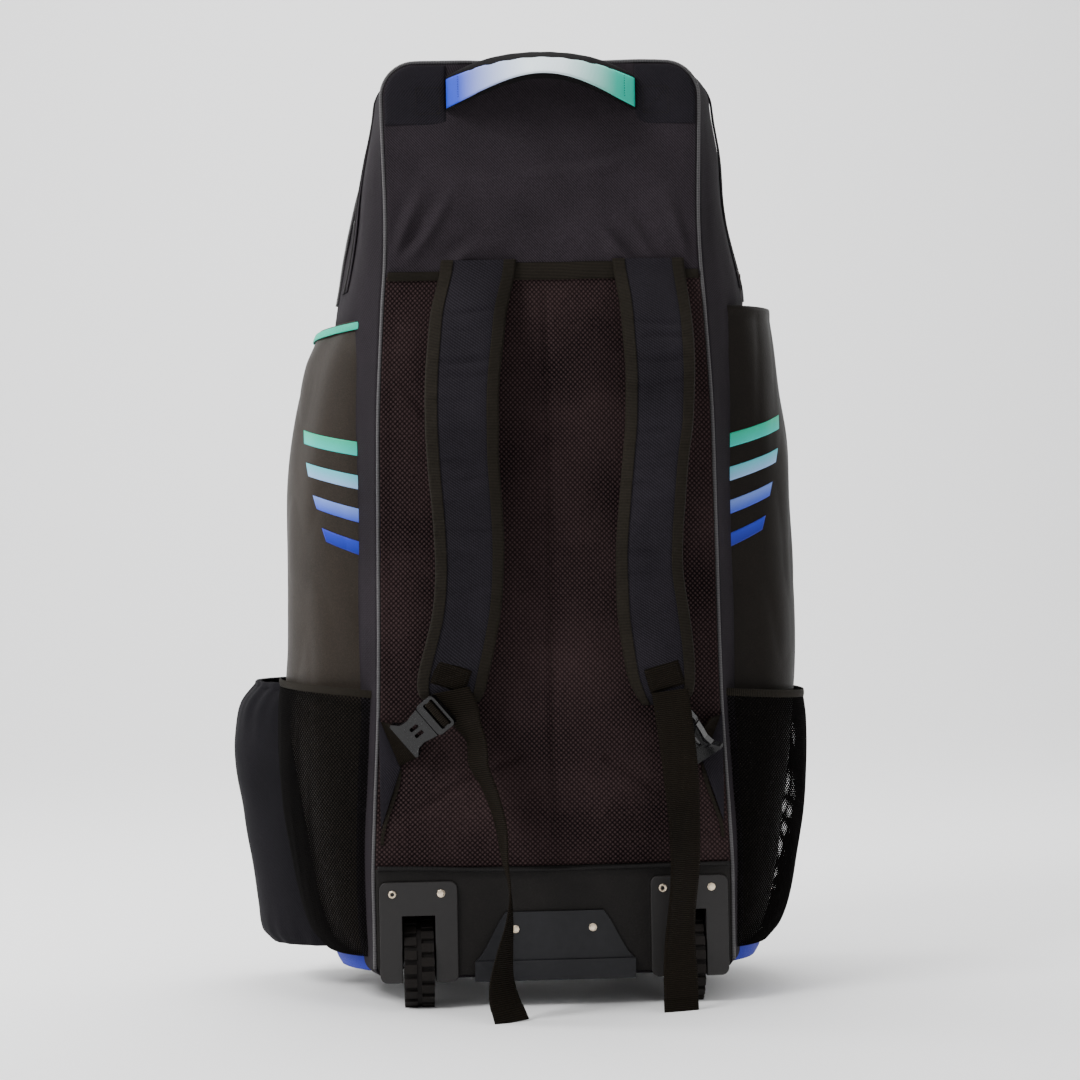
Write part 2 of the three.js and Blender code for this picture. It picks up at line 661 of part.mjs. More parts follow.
function wellRoom(side, grow) {
  const shape = wellShape(grow, wellBackY, wellBottomZ);
  return crossPlate(shape, SLOT_WIDTH + 2 * grow, (side * WHEEL_SPREAD) / 2);
}

function basePanel() {
  const heights = [BASE_HEIGHT + 3, BASE_HEIGHT + BOTTOM_CORNER, meshBottomZ - GAP];
  const half = (z) => backOutlineHalf(z, PANEL_INSET) - (z < BASE_HEIGHT + BOTTOM_CORNER ? 6 : 0);
  const rings = heights.map((z) => {
    const across = [-1, -0.5, 0, 0.5, 1].map((share) => share * half(z));
    const back = across.map((x) => new THREE.Vector3(x, PANEL_BACK_Y, z));
    const front = across.map((x) => new THREE.Vector3(x, RIM_Y - 0.5, z)).reverse();
    return [...back, ...front];
  });
  const cutWall = HOUSING_WALL + GAP;
  return loft(rings).subtract(wellRoom(-1, cutWall)).subtract(wellRoom(1, cutWall));
}

// Corded edges

function backPiping() {
  const y = PANEL_BACK_Y / 2;
  const inset = 1.1;
  const shares = [0.012, 0.1, 0.22, 0.34, 0.46, 0.58, 0.68, 0.76, 0.83, 0.9];
  const flank = shares.map((share) => upBody(share * BODY_HEIGHT));
  const rise = [0, 22, 45, 67, 83];
  const reach = TOP_CORNER - inset;
  const corner = rise.map((degrees) => BODY_TOP - TOP_CORNER + reach * Math.sin(radians(degrees)));
  const right = [...flank, ...corner].map((z) => new THREE.Vector3(backOutlineHalf(z, inset), y, z));
  const left = right.map((p) => new THREE.Vector3(-p.x, y, p.z)).reverse();
  const flatHalf = backOutlineHalf(BODY_TOP - TOP_CORNER, inset) - TOP_CORNER + inset;
  const flatShares = [0.95, 0.5, 0, -0.5, -0.95];
  const flat = flatShares.map((share) => new THREE.Vector3(share * flatHalf, y, BODY_TOP - inset));
  return cord([...right, ...flat, ...left], PIPING_RADIUS);
}

// Line on the body's surface at one depth share, from one side over the top to the other
function overTheTop(out, fromUp, lift) {
  const drop = tableAt(BODY_RINGS, "out", "drop", out) * TOP_DROP;
  const top = BODY_TOP - drop + lift;
  const centreZ = top - lift - TOP_CORNER;
  const depth = (z) => RIM_Y + out * (depthAt(Math.min(z, top)) - RIM_Y);
  const point = (side, x, z) => new THREE.Vector3(side * x, depth(z), z);
  const half = (side) => {
    const flank = [0, 0.25, 0.5, 0.75, 1].map((share) => lerp(fromUp, centreZ, share));
    const straight = flank.map((z) => point(side, bodyHalf(z, out, side) + lift, z));
    const edge = bodyHalf(centreZ, out, side) - TOP_CORNER;
    const round = [30, 60, 90].map((degrees) => {
      const angle = radians(degrees);
      const reach = TOP_CORNER + lift;
      return point(side, edge + reach * Math.cos(angle), centreZ + reach * Math.sin(angle));
    });
    return [...straight, ...round];
  };
  const right = half(1);
  const left = half(-1).reverse();
  const edge = right[right.length - 1];
  const flat = [0.6, 0, -0.6].map((share) => edge.clone().setX(share * edge.x));
  return [...right, ...flat, ...left];
}

const SLEEVE_TOP = BASE_HEIGHT + 4 + SLEEVE_HEIGHT;
const LID_LINE = 0.45;
const ZIP_LINE = 0.3;

function lidPiping() {
  const points = overTheTop(LID_LINE, SLEEVE_TOP + LID_PIPING_RISE, LID_PIPING_RADIUS + 2 * GAP);
  return cord(points, LID_PIPING_RADIUS).subtract(bodyFit);
}

function lidZip() {
  const line = overTheTop(ZIP_LINE, SLEEVE_TOP + ZIP_RISE, 0);
  const rings = line.map((point, i) => {
    const before = line[Math.max(i - 1, 0)];
    const after = line[Math.min(i + 1, line.length - 1)];
    const along = after.clone().sub(before).normalize();
    const out = new THREE.Vector3().crossVectors(along, new THREE.Vector3(0, -1, 0)).normalize();
    const outward = out.dot(point.clone().setY(0).sub(new THREE.Vector3(0, 0, BODY_TOP / 2))) < 0 ? -1 : 1;
    out.multiplyScalar(outward);
    const corner = (y, rise) =>
      new THREE.Vector3(point.x + out.x * rise, point.y + y, point.z + out.z * rise);
    const half = ZIP_WIDTH / 2;
    return [corner(-half, -9), corner(-half, ZIP_THICK), corner(half, ZIP_THICK + 2.5), corner(half, -9)];
  });
  return loft(rings).subtract(bodyFit);
}

function basePiping() {
  const z = meshBottomZ - 2;
  const y = TRIM_FRONT_Y - BASE_PIPING_RADIUS;
  const half = backOutlineHalf(z, PANEL_INSET + 1);
  const rises = [3, 2, 0, -1.5, -2, -1.5, -1, -0.5, 0];
  const points = rises.map((rise, i) => {
    const x = lerp(-half, half, i / (rises.length - 1));
    return new THREE.Vector3(x, y, z + rise);
  });
  return cord(points, BASE_PIPING_RADIUS);
}

// Grab handle

const handleZ = BODY_TOP - HANDLE_DROP;

// Point, width direction and outward direction of the handle at a share of its span
function handleFrame(share) {
  const arch = Math.sin(Math.PI * share);
  const rounded = arch ** 0.8;
  const x = lerp(-HANDLE_SPAN / 2, HANDLE_SPAN / 2, share);
  const tilt = radians(HANDLE_TILT) * arch;
  const seat = -PANEL_BACK_Y + GAP + GRIP_THICK * 0.3;
  return {
    centre: new THREE.Vector3(x, -lerp(seat, HANDLE_STANDOFF, rounded), handleZ + HANDLE_RISE * arch),
    across: new THREE.Vector3(0, Math.sin(tilt), Math.cos(tilt)),
    outward: new THREE.Vector3(0, -Math.cos(tilt), Math.sin(tilt)),
    arch,
  };
}

function handleRing(share, outline) {
  const { centre, across, outward, arch } = handleFrame(share);
  return outline(arch).map(([w, t]) => centre.clone().addScaledVector(across, w).addScaledVector(outward, t));
}

const HANDLE_STEPS = 16;
const handleShares = Array.from({ length: HANDLE_STEPS + 1 }, (_, i) => i / HANDLE_STEPS);

function handleGrip(grow = 0) {
  const outline = (arch) => {
    const half = (GRIP_WIDTH / 2) * lerp(0.8, 1, arch) + grow;
    const thick = (GRIP_THICK / 2) * lerp(0.5, 1, Math.min(arch * 2, 1)) + grow;
    return [
      [-half, thick * 0.3],
      [-half * 0.8, thick],
      [half * 0.8, thick],
      [half, thick * 0.3],
      [half, -thick * 0.4],
      [half * 0.6, -thick],
      [-half * 0.6, -thick],
      [-half, -thick * 0.4],
    ];
  };
  return loft(handleShares.map((share) => handleRing(share, outline)));
}

function handleWebbing() {
  const outline = (arch) => {
    const half = HANDLE_WEBBING_WIDTH / 2;
    const low = (GRIP_THICK / 2) * lerp(0.5, 1, Math.min(arch * 2, 1)) + GAP;
    return [
      [-half, low],
      [-half, low + WEBBING_THICK],
      [half, low + WEBBING_THICK],
      [half, low],
    ];
  };
  return loft(handleShares.map((share) => handleRing(share, outline))).subtract(handleGrip(GAP));
}

function handlePatch(side) {
  const inset = PANEL_INSET + 1;
  const low = BODY_TOP - HANDLE_PATCH_DROP;
  const inner = HANDLE_SPAN / 2 + GAP;
  const half = backOutlineHalf(low, inset);
  const corner = TOP_CORNER - inset;
  const top = BODY_TOP - inset;
  const shape = new THREE.Shape();
  shape.moveTo(inner, low);
  shape.lineTo(half, low);
  shape.lineTo(half, top - corner);
  shape.absarc(half - corner, top - corner, corner, 0, Math.PI / 2);
  shape.lineTo(inner, top);
  const plate = backPlate(shape, TRIM_WALL, TRIM_FRONT_Y, 5);
  return side > 0 ? plate : plate.mirror([1, 0, 0]);
}

// Shoulder harness

const padTopZ = seamZ + PAD_LAP;
const padEndZ = padTopZ - PAD_LENGTH;
const padSeatY = TRIM_FRONT_Y - TRIM_WALL - GAP;

function padFrame(rows, i) {
  const place = (row) =>
    new THREE.Vector3(
      row.across * BACK_HALF,
      padSeatY - PAD_EDGE / 2 - row.off * PAD_STANDOFF,
      padTopZ - row.down * PAD_LENGTH,
    );
  const centre = place(rows[i]);
  const before = place(rows[Math.max(i - 1, 0)]);
  const after = place(rows[Math.min(i + 1, rows.length - 1)]);
  const along = after.sub(before).setX(0).normalize();
  return { centre, outward: new THREE.Vector3(0, along.z, -along.y) };
}

function shoulderPad(rows) {
  const rings = rows.map((row, i) => {
    const { centre, outward } = padFrame(rows, i);
    const half = (PAD_WIDTH * row.width) / 2;
    const swell = Math.min(row.down * 14, 1) * (PAD_THICK - PAD_EDGE + row.ripple * 1.6);
    const across = [-1, -0.8, 0, 0.8, 1];
    const crown = (share) => PAD_EDGE / 2 + swell * (1 - share ** 4) * 0.5;
    const at = (share, side) =>
      centre.clone().add(new THREE.Vector3(share * half, 0, 0)).addScaledVector(outward, side * crown(share));
    return [...across.map((s) => at(s, 1)), ...across.map((s) => at(s, -1)).reverse()];
  });
  return loft(rings);
}

// Webbing square sewn on the pad near its tip
function strapPatch(rows, { down, across, lean }) {
  const index = rows.findIndex((row) => row.down >= down);
  const { centre, outward } = padFrame(rows, index);
  const low = PAD_THICK / 2 + GAP;
  const width = new THREE.Vector3(Math.cos(radians(lean)), 0, Math.sin(radians(lean)));
  const height = new THREE.Vector3().crossVectors(outward, width).normalize();
  const middle = centre.clone().setX(across * BACK_HALF).addScaledVector(outward, low);
  const ring = (rise) =>
    [
      [-1, -1],
      [1, -1],
      [1, 1],
      [-1, 1],
    ].map(([w, h]) =>
      middle
        .clone()
        .addScaledVector(width, (w * (WEBBING_WIDTH - 2)) / 2)
        .addScaledVector(height, (h * STRAP_PATCH_HEIGHT) / 2)
        .addScaledVector(outward, rise),
    );
  return loft([ring(-2), ring(TRIM_WALL)]);
}

const tailTopZ = padEndZ + TAIL_LAP;

function strapTail(rows) {
  const place = (row) =>
    new THREE.Vector3(
      row.across * BACK_HALF,
      PANEL_BACK_Y - row.off * PAD_STANDOFF,
      tailTopZ - row.down * TAIL_LENGTH,
    );
  const rings = rows.map((row, i) => {
    const centre = place(row);
    const before = place(rows[Math.max(i - 1, 0)]);
    const after = place(rows[Math.min(i + 1, rows.length - 1)]);
    const along = after.sub(before).normalize();
    const turn = radians(row.turn);
    const lean = radians(row.lean);
    const level = Math.cos(turn);
    const wide = new THREE.Vector3(level * Math.cos(lean), Math.sin(turn), level * Math.sin(lean));
    wide.addScaledVector(along, -wide.dot(along) * 0.5).normalize();
    const thin = new THREE.Vector3().crossVectors(wide, along).normalize();
    const corner = (w, t) =>
      centre
        .clone()
        .addScaledVector(wide, (w * WEBBING_WIDTH) / 2)
        .addScaledVector(thin, (t * WEBBING_THICK) / 2);
    return [corner(-1, 1), corner(1, 1), corner(1, -1), corner(-1, -1)];
  });
  return loft(rings);
}

// Buckle in its own frame: length along X from the adjuster end to the ears, width along Z

function slotShape(width, height, x, z) {
  return roundedShape(width, height, Math.min(width, height) * 0.3, x, z - height / 2);
}

function buckleFrame() {
  const length = BUCKLE_LENGTH * 0.4;
  const shape = roundedShape(length, BUCKLE_WIDTH, 4, length / 2 - BUCKLE_LENGTH / 2, -BUCKLE_WIDTH / 2);
  const window = BUCKLE_WIDTH - 7;
  shape.holes.push(slotShape(4.2, window, 5 - BUCKLE_LENGTH / 2, 0));
  shape.holes.push(slotShape(5, window, 13.4 - BUCKLE_LENGTH / 2, 0));
  return backPlate(shape, BUCKLE_THICK, BUCKLE_THICK / 2, 1);
}

function buckleSocket() {
  const start = BUCKLE_LENGTH * 0.4 + GAP - BUCKLE_LENGTH / 2;
  const end = BUCKLE_LENGTH / 2;
  const waist = BUCKLE_WIDTH * 0.36;
  const ear = BUCKLE_EARS / 2;
  const shape = new THREE.Shape();
  shape.moveTo(start, -BUCKLE_WIDTH / 2 + 2);
  shape.quadraticCurveTo(start + 9, -waist - 2, start + 17, -waist);
  shape.quadraticCurveTo(end - 8, -waist, end - 5, -ear + 3);
  shape.quadraticCurveTo(end - 3, -ear - 1, end, -ear + 2);
  shape.lineTo(end, ear - 2);
  shape.quadraticCurveTo(end - 3, ear + 1, end - 5, ear - 3);
  shape.quadraticCurveTo(end - 8, waist, start + 17, waist);
  shape.quadraticCurveTo(start + 9, waist + 2, start, BUCKLE_WIDTH / 2 - 2);
  shape.holes.push(slotShape(11, 4, start + 15, 4));
  shape.holes.push(slotShape(11, 4, start + 15, -4));
  return backPlate(shape, BUCKLE_THICK + 1.5, (BUCKLE_THICK + 1.5) / 2, 2);
}

const anchorTopZ = upBody(ANCHOR_TAB_UP + ANCHOR_TAB_HEIGHT);
const anchorEdge = () => backOutlineHalf(anchorTopZ - ANCHOR_TAB_HEIGHT / 2, PANEL_INSET) - 1.2;

// Corners of the anchor webbing: shares of the webbing's width inwards and of the tab's height down
const ANCHOR_WEBBING_CORNERS = [
  { across: 0.053, down: 0.026 },
  { across: 0.539, down: 0.43 },
  { across: 0.974, down: 0.307 },
  { across: 0.316, down: 0.044 },
];

function anchorTab(side) {
  const outer = anchorEdge();
  const shape = new THREE.Shape();
  shape.moveTo(-outer, anchorTopZ);
  shape.lineTo(-outer, anchorTopZ - ANCHOR_TAB_HEIGHT);
  shape.lineTo(-outer + ANCHOR_TAB_REACH, anchorTopZ - 0.447 * ANCHOR_TAB_HEIGHT);
  const plate = backPlate(shape, ANCHOR_TAB_THICK, TRIM_FRONT_Y);
  return side < 0 ? plate : plate.mirror([1, 0, 0]);
}

function anchorWebbing(side) {
  const outer = anchorEdge();
  const shape = new THREE.Shape();
  ANCHOR_WEBBING_CORNERS.forEach(({ across, down }, i) => {
    const x = -outer + across * WEBBING_WIDTH;
    const z = anchorTopZ - down * ANCHOR_TAB_HEIGHT;
    if (i === 0) shape.moveTo(x, z);
    else shape.lineTo(x, z);
  });
  const plate = backPlate(shape, WEBBING_THICK, TRIM_FRONT_Y - ANCHOR_TAB_THICK - GAP);
  return side < 0 ? plate : plate.mirror([1, 0, 0]);
}

// Sleeves and pockets: a bulge on one side of the body, lofted up through half-oval sections

function bulge(sizes) {
  const { side, bottom, height, backY, depth, half, sections, grow } = sizes;
  const { ends = 0, power = 2.3, tilt = 0 } = sizes;
  const steps = 8;
  const rings = sections.map(({ up, out }, i) => {
    const last = sections.length - 1;
    const end = i === 0 ? -ends : i === last ? ends : 0;
    const reach = half * out + grow;
    const y0 = backY - grow;
    const y1 = backY + depth + grow;
    const ring = Array.from({ length: steps + 1 }, (_, k) => {
      const angle = (k / steps) * Math.PI;
      const root = BACK_WIDTH * 0.42;
      const swell = Math.sin(angle) ** (2 / power);
      const swing = Math.sign(Math.cos(angle)) * Math.abs(Math.cos(angle)) ** (2 / power);
      const x = root + (reach - root) * swell;
      const z = bottom + up * height + end + tilt * up * ((x - root) / (reach - root));
      return new THREE.Vector3(side * x, (y0 + y1) / 2 - ((y1 - y0) / 2) * swing, z);
    });
    const inner = [ring[steps], ring[0]].map((p) => p.clone().setX(side * BACK_WIDTH * 0.3));
    return [...ring, inner[0], ...[inner[1]]];
  });
  return loftSection(rings);
}

// Loft whose rings have an odd or even count and are closed by a fan
function loftSection(rings) {
  const odd = rings[0].length % 2 === 1;
  const even = odd ? rings.map((r) => [...r, r[r.length - 1].clone().lerp(r[0], 0.5)]) : rings;
  return loft(even.map((ring) => rotateRing(ring)));
}

// Starts a bulge's ring half way round, so that the ladder runs between its back and front arcs
function rotateRing(ring) {
  const start = Math.floor(ring.length / 2) - 1;
  const turned = [...ring.slice(start), ...ring.slice(0, start)];
  return turned;
}

const sleeveSizes = (side, grow, ends) => ({
  side,
  bottom: BASE_HEIGHT + 4,
  height: SLEEVE_HEIGHT,
  backY: SLEEVE_BACK,
  depth: SLEEVE_DEPTH,
  half: SLEEVE_HALF,
  sections: SLEEVE_SECTIONS,
  grow,
  ends,
});

function batSleeve(side) {
  const filled = bulge(sleeveSizes(side, 0, 0));
  const room = bulge(sleeveSizes(side, -SLEEVE_WALL, -SLEEVE_WALL));
  return filled.subtract(room).subtract(bodyFit);
}

const sleeveFit = {
  "-1": bulge(sleeveSizes(-1, GAP, GAP)),
  1: bulge(sleeveSizes(1, GAP, GAP)),
};

const pocketDepth = (side) => (side < 0 ? POCKET_DEPTH_LEFT : POCKET_DEPTH_RIGHT);
const pocketTilt = (side) => (side < 0 ? 12 : -10);
const pocketBottom = upBody(22);

const pocketSizes = (side, grow, ends) => ({
  side,
  bottom: pocketBottom,
  height: POCKET_HEIGHT,
  backY: POCKET_BACK,
  depth: SLEEVE_DEPTH + 2 * (SLEEVE_BACK - POCKET_BACK),
  half: POCKET_HALF,
  sections: MESH_SECTIONS,
  grow,
  ends,
  tilt: pocketTilt(side),
});

// Everything behind the line where a pocket ends on the sleeve's side
function behindPocket(side) {
  const y = POCKET_BACK + pocketDepth(side);
  const reach = 2 * CLOTH_POCKET_HALF;
  return box(reach, 2 * BODY_DEPTH, 2 * BODY_TOP, (side * reach) / 2, y + BODY_DEPTH, BODY_TOP);
}

function meshPocket(side) {
  const filled = bulge(pocketSizes(side, 0, 0));
  const inside = bulge(pocketSizes(side, -POCKET_WALL, 0));
  const lifted = inside.translate([0, 0, POCKET_WALL]);
  return filled.subtract(lifted).subtract(bodyFit).subtract(sleeveFit[side]).subtract(behindPocket(side));
}

function meshBinding(side) {
  const row = MESH_SECTIONS[MESH_SECTIONS.length - 1];
  const sections = [
    { up: 0, out: row.out },
    { up: 1, out: row.out },
  ];
  const tilt = pocketTilt(side);
  const sizes = (grow, ends) => ({
    ...pocketSizes(side, grow, ends),
    bottom: pocketBottom + POCKET_HEIGHT + GAP,
    height: POCKET_BINDING,
    sections,
    tilt: 0,
  });
  const filled = bulge(sizes(0.7, 0));
  const inside = bulge(sizes(-POCKET_WALL - 0.7, 2));
  const ring = filled.subtract(inside).warp((p) => {
    const root = BACK_WIDTH * 0.42;
    p[2] += (tilt * (Math.abs(p[0]) - root)) / (POCKET_HALF * row.out - root);
  });
  return ring.subtract(bodyFit).subtract(sleeveFit[side]).subtract(behindPocket(side));
}

function clothPocket() {
  const sizes = (grow, ends) => ({
    side: -1,
    bottom: upBody(17),
    height: CLOTH_POCKET_HEIGHT,
    backY: CLOTH_POCKET_BACK,
    depth: CLOTH_POCKET_DEPTH,
    half: CLOTH_POCKET_HALF,
    sections: CLOTH_SECTIONS,
    grow,
    ends,
    power: 2.6,
  });
  const filled = bulge(sizes(0, 0));
  const lifted = bulge(sizes(-CLOTH_WALL, 0)).translate([0, 0, CLOTH_WALL]);
  const meshFit = bulge(pocketSizes(-1, GAP + 1, GAP)).subtract(behindPocket(-1));
  return filled.subtract(lifted).subtract(bodyFit).subtract(sleeveFit[-1]).subtract(meshFit);
}

// Coloured strip round the foot of a sleeve, just under the pocket
function pocketTrim(side) {
  const low = BASE_HEIGHT + 4;
  const x = side * SLEEVE_HALF * SLEEVE_SECTIONS[0].out;
  const y = TRIM_BACK + POCKET_TRIM_DEPTH / 2;
  const z = low + POCKET_TRIM_HEIGHT / 2;
  const slab = box(POCKET_TRIM_WIDTH, POCKET_TRIM_DEPTH, POCKET_TRIM_HEIGHT - GAP, x, y, z);
  const skin = bulge(sleeveSizes(side, TRIM_WALL + GAP, 0));
  const core = bulge(sleeveSizes(side, GAP, 2));
  return skin.subtract(core).intersect(slab).subtract(bodyFit);
}

// Coloured edge at the top of the left sleeve
function sleeveTrim() {
  const skin = bulge(sleeveSizes(-1, TRIM_WALL + GAP, 0));
  const core = bulge(sleeveSizes(-1, GAP, 2));
  const x = -BACK_WIDTH * 0.45 - SLEEVE_HALF / 2;
  const y = TRIM_BACK + SLEEVE_TRIM_DEPTH / 2;
  const z = SLEEVE_TOP - 1 - SLEEVE_TRIM_HEIGHT / 2;
  const slab = box(SLEEVE_HALF, SLEEVE_TRIM_DEPTH, SLEEVE_TRIM_HEIGHT, x, y, z);
  return skin.subtract(core).intersect(slab).subtract(bodyFit);
}

// Wheels, housings and base

function tyre() {
  const outline = (phase, radius) => {
    const points = [];
    for (let i = 0; i < LUG_COUNT; i++) {
      const pitch = (Math.PI * 2) / LUG_COUNT;
      const start = i * pitch + phase;
      const lug = pitch * LUG_SHARE;
      [
        [start, radius],
        [start + lug, radius],
        [start + lug * 1.08, radius - LUG_DEPTH],
        [start + pitch - lug * 0.08, radius - LUG_DEPTH],
      ].forEach(([angle, r]) => points.push(new THREE.Vector2(Math.cos(angle) * r, Math.sin(angle) * r)));
    }
    return new THREE.Shape(points);
  };
  const bore = new THREE.Path();
  bore.absarc(0, 0, (HUB_RADIUS + GAP) / Math.cos(Math.PI / 20), 0, Math.PI * 2, true);
  const row = (WHEEL_WIDTH - CENTRE_RIB) / 2;
  const slice = (shape, depth, from) => {
    shape.holes.push(bore);
    const geometry = new THREE.ExtrudeGeometry(shape, { depth, bevelEnabled: false, curveSegments: 10 });
    geometry.translate(0, 0, from);
    geometry.rotateY(Math.PI / 2);
    return solidOf(geometry);
  };
  const rib = new THREE.Shape();
  rib.absarc(0, 0, WHEEL_RADIUS - LUG_DEPTH * 0.3, 0, Math.PI * 2);
  const pitch = (Math.PI * 2) / LUG_COUNT;
  const lug = pitch * LUG_SHARE;
  return slice(outline(-lug / 2, WHEEL_RADIUS), row, -WHEEL_WIDTH / 2)
    .add(slice(outline((pitch - lug) / 2, WHEEL_RADIUS), row, CENTRE_RIB / 2))
    .add(slice(rib, CENTRE_RIB, -CENTRE_RIB / 2));
}

function hub() {
  const half = HUB_WIDTH / 2;
  const bore = AXLE_RADIUS + GAP;
  const profile = [
    [bore, -half - 2],
    [bore + 5, -half - 2],
    [bore + 6.5, -half + 4],
    [HUB_RADIUS - 5, -half + 4],
    [HUB_RADIUS, -half],
    [HUB_RADIUS, half],
    [HUB_RADIUS - 5, half - 4],
    [bore + 6.5, half - 4],
    [bore + 5, half + 2],
    [bore, half + 2],
    [bore, -half - 2],
  ].map(([r, along]) => new THREE.Vector2(r, along));
  const geometry = new THREE.LatheGeometry(profile, 12);
  geometry.rotateZ(Math.PI / 2);
  return solidOf(geometry);
}

function axle() {
  const length = SLOT_WIDTH + 2 * HOUSING_WALL + 2;
  const geometry = new THREE.CylinderGeometry(AXLE_RADIUS, AXLE_RADIUS, length, 12);
  geometry.rotateZ(Math.PI / 2);
  return solidOf(geometry);
}

function wheelHousing(side) {
  const x = (side * WHEEL_SPREAD) / 2;
  const low = BASE_HEIGHT - GAP;
  const plateShape = roundedShape(HOUSING_WIDTH, HOUSING_HEIGHT, HOUSING_CORNER, x, low - HOUSING_WALL);
  const plate = backPlate(plateShape, HOUSING_WALL, TRIM_FRONT_Y, 3);
  const backFace = TRIM_FRONT_Y - HOUSING_WALL;
  const shelfEnd = wheelCentreY + wellRadius + HOUSING_WALL + 8;
  const shelf = box(
    HOUSING_WIDTH - 2 * HOUSING_CORNER,
    shelfEnd - backFace - 1,
    HOUSING_WALL,
    x,
    (shelfEnd + backFace + 1) / 2,
    low - HOUSING_WALL / 2,
  );
  const wallShape = wellShape(HOUSING_WALL, TRIM_FRONT_Y - 1, low - HOUSING_WALL);
  const well = crossPlate(wallShape, SLOT_WIDTH + 2 * HOUSING_WALL, x);
  const bore = new THREE.CylinderGeometry(AXLE_RADIUS + GAP, AXLE_RADIUS + GAP, SLOT_WIDTH * 2, 12);
  bore.rotateZ(Math.PI / 2);
  bore.translate(x, wheelCentreY, WHEEL_RADIUS);
  return plate.add(shelf).add(well).subtract(wellRoom(side, 0)).subtract(solidOf(bore));
}

function kickPlate() {
  const low = BASE_HEIGHT - GAP;
  const half = KICK_WIDTH / 2;
  const topHalf = KICK_TOP_WIDTH / 2;
  const shape = new THREE.Shape();
  shape.moveTo(-half, low);
  shape.lineTo(half, low);
  shape.lineTo(half, low + KICK_BUMPER - 4);
  const top = low + KICK_HEIGHT;
  const shoulder = low + KICK_BUMPER;
  shape.bezierCurveTo(half - 12, shoulder + 4, topHalf + 12, top - 14, topHalf, top);
  shape.lineTo(-topHalf, top);
  shape.bezierCurveTo(-topHalf - 12, top - 14, -half + 12, shoulder + 4, -half, shoulder - 4);
  const plate = backPlate(shape, HOUSING_WALL, TRIM_FRONT_Y, 5);
  const face = TRIM_FRONT_Y - HOUSING_WALL;
  const lipZ = low - HOUSING_WALL / 2 + 0.01;
  const lip = box(KICK_WIDTH, KICK_LIP, HOUSING_WALL, 0, face + KICK_LIP / 2, lipZ);
  const bumper = box(KICK_WIDTH, 3, KICK_BUMPER, 0, face - 1.49, low + KICK_BUMPER / 2 - 3);
  return plate.add(lip).add(bumper);
}

function rivet(hollow) {
  const r = RIVET_RADIUS;
  const h = RIVET_HEIGHT;
  const profile = hollow
    ? [
        [r * 0.42, 0],
        [r, 0],
        [r * 0.94, -h * 0.6],
        [r * 0.7, -h],
        [r * 0.5, -h * 0.8],
        [r * 0.42, 0],
      ]
    : [
        [0, 0],
        [r, 0],
        [r * 0.94, -h * 0.5],
        [r * 0.55, -h * 0.93],
        [0, -h],
      ];
  return solidOf(new THREE.LatheGeometry(profile.map(([x, y]) => new THREE.Vector2(x, y)), 8));
}

function foot(side, y) {
  const height = BASE_HEIGHT + EDGE_ROUND / 2;
  const shape = roundedShape(FOOT_WIDTH, FOOT_DEPTH, 8, 0, -FOOT_DEPTH / 2);
  const geometry = new THREE.ExtrudeGeometry(shape, { depth: height, bevelEnabled: false, curveSegments: 2 });
  geometry.translate((side * FOOT_SPREAD) / 2, y, 0);
  return solidOf(geometry).subtract(bodyFit);
}

// Zip slider and its pull at the end of the zip on the right side
function zipSlider() {
  const shape = roundedShape(9, SLIDER_LENGTH, 2.5, 0, -SLIDER_LENGTH / 2);
  return backPlate(shape, 3, 0, 2);
}

function zipPull() {
  const shape = roundedShape(7, PULL_LENGTH, 3, 0, -PULL_LENGTH);
  shape.holes.push(slotShape(3, PULL_LENGTH * 0.3, 0, -PULL_LENGTH * 0.75));
  return backPlate(shape, 1.8, 0, 2);
}

// Finishes
const finish = (color, roughness, metalness = 0) =>
  new THREE.MeshStandardMaterial({ color, roughness, metalness });
const polyester = finish(0x24222b, 0.85);
const airMesh = finish(0x17141a, 0.95);
const grosgrain = finish(0x2a261d, 0.8);
const silverCord = finish(0xa5a7ad, 0.5);
const coated = finish(0x38332c, 0.45);
const gradientWeb = finish(0x7fb6d8, 0.6);
const gripRubber = finish(0x1c1a1c, 0.7);
const tealTrim = finish(0x1cc4a4, 0.6);
const blueTrim = finish(0x3440b4, 0.6);
const hardPlastic = finish(0x2c2c2e, 0.4);
const glossPlastic = finish(0x121214, 0.25);
const nickel = finish(0xcbbba2, 0.3, 1);
const steel = finish(0x8c8c90, 0.35, 1);
const rubber = finish(0x1d1a18, 0.85);

const bag = new THREE.Group();

function add(name, solid, material, parent = bag) {
  const mesh = new THREE.Mesh(geometryOf(solid), material);
  mesh.name = name;
  parent.add(mesh);
  return mesh;
}

// Soft body
const wellCut = HOUSING_WALL + GAP;
add("main_shell", mainShell().subtract(wellRoom(-1, wellCut)).subtract(wellRoom(1, wellCut)), polyester);
add("back_panel_upper", backPanelUpper(), polyester);
add("back_panel_mesh", backPanelMesh(), airMesh);
add("base_panel", basePanel(), coated);
add("top_band", topBand(), grosgrain);
add("back_piping", backPiping(), silverCord);
add("lid_piping", lidPiping(), silverCord);
add("base_piping", basePiping(), grosgrain);
add("lid_zip", lidZip(), grosgrain);

// Handle
add("handle_grip", handleGrip(), gripRubber);
add("handle_webbing", handleWebbing(), gradientWeb);

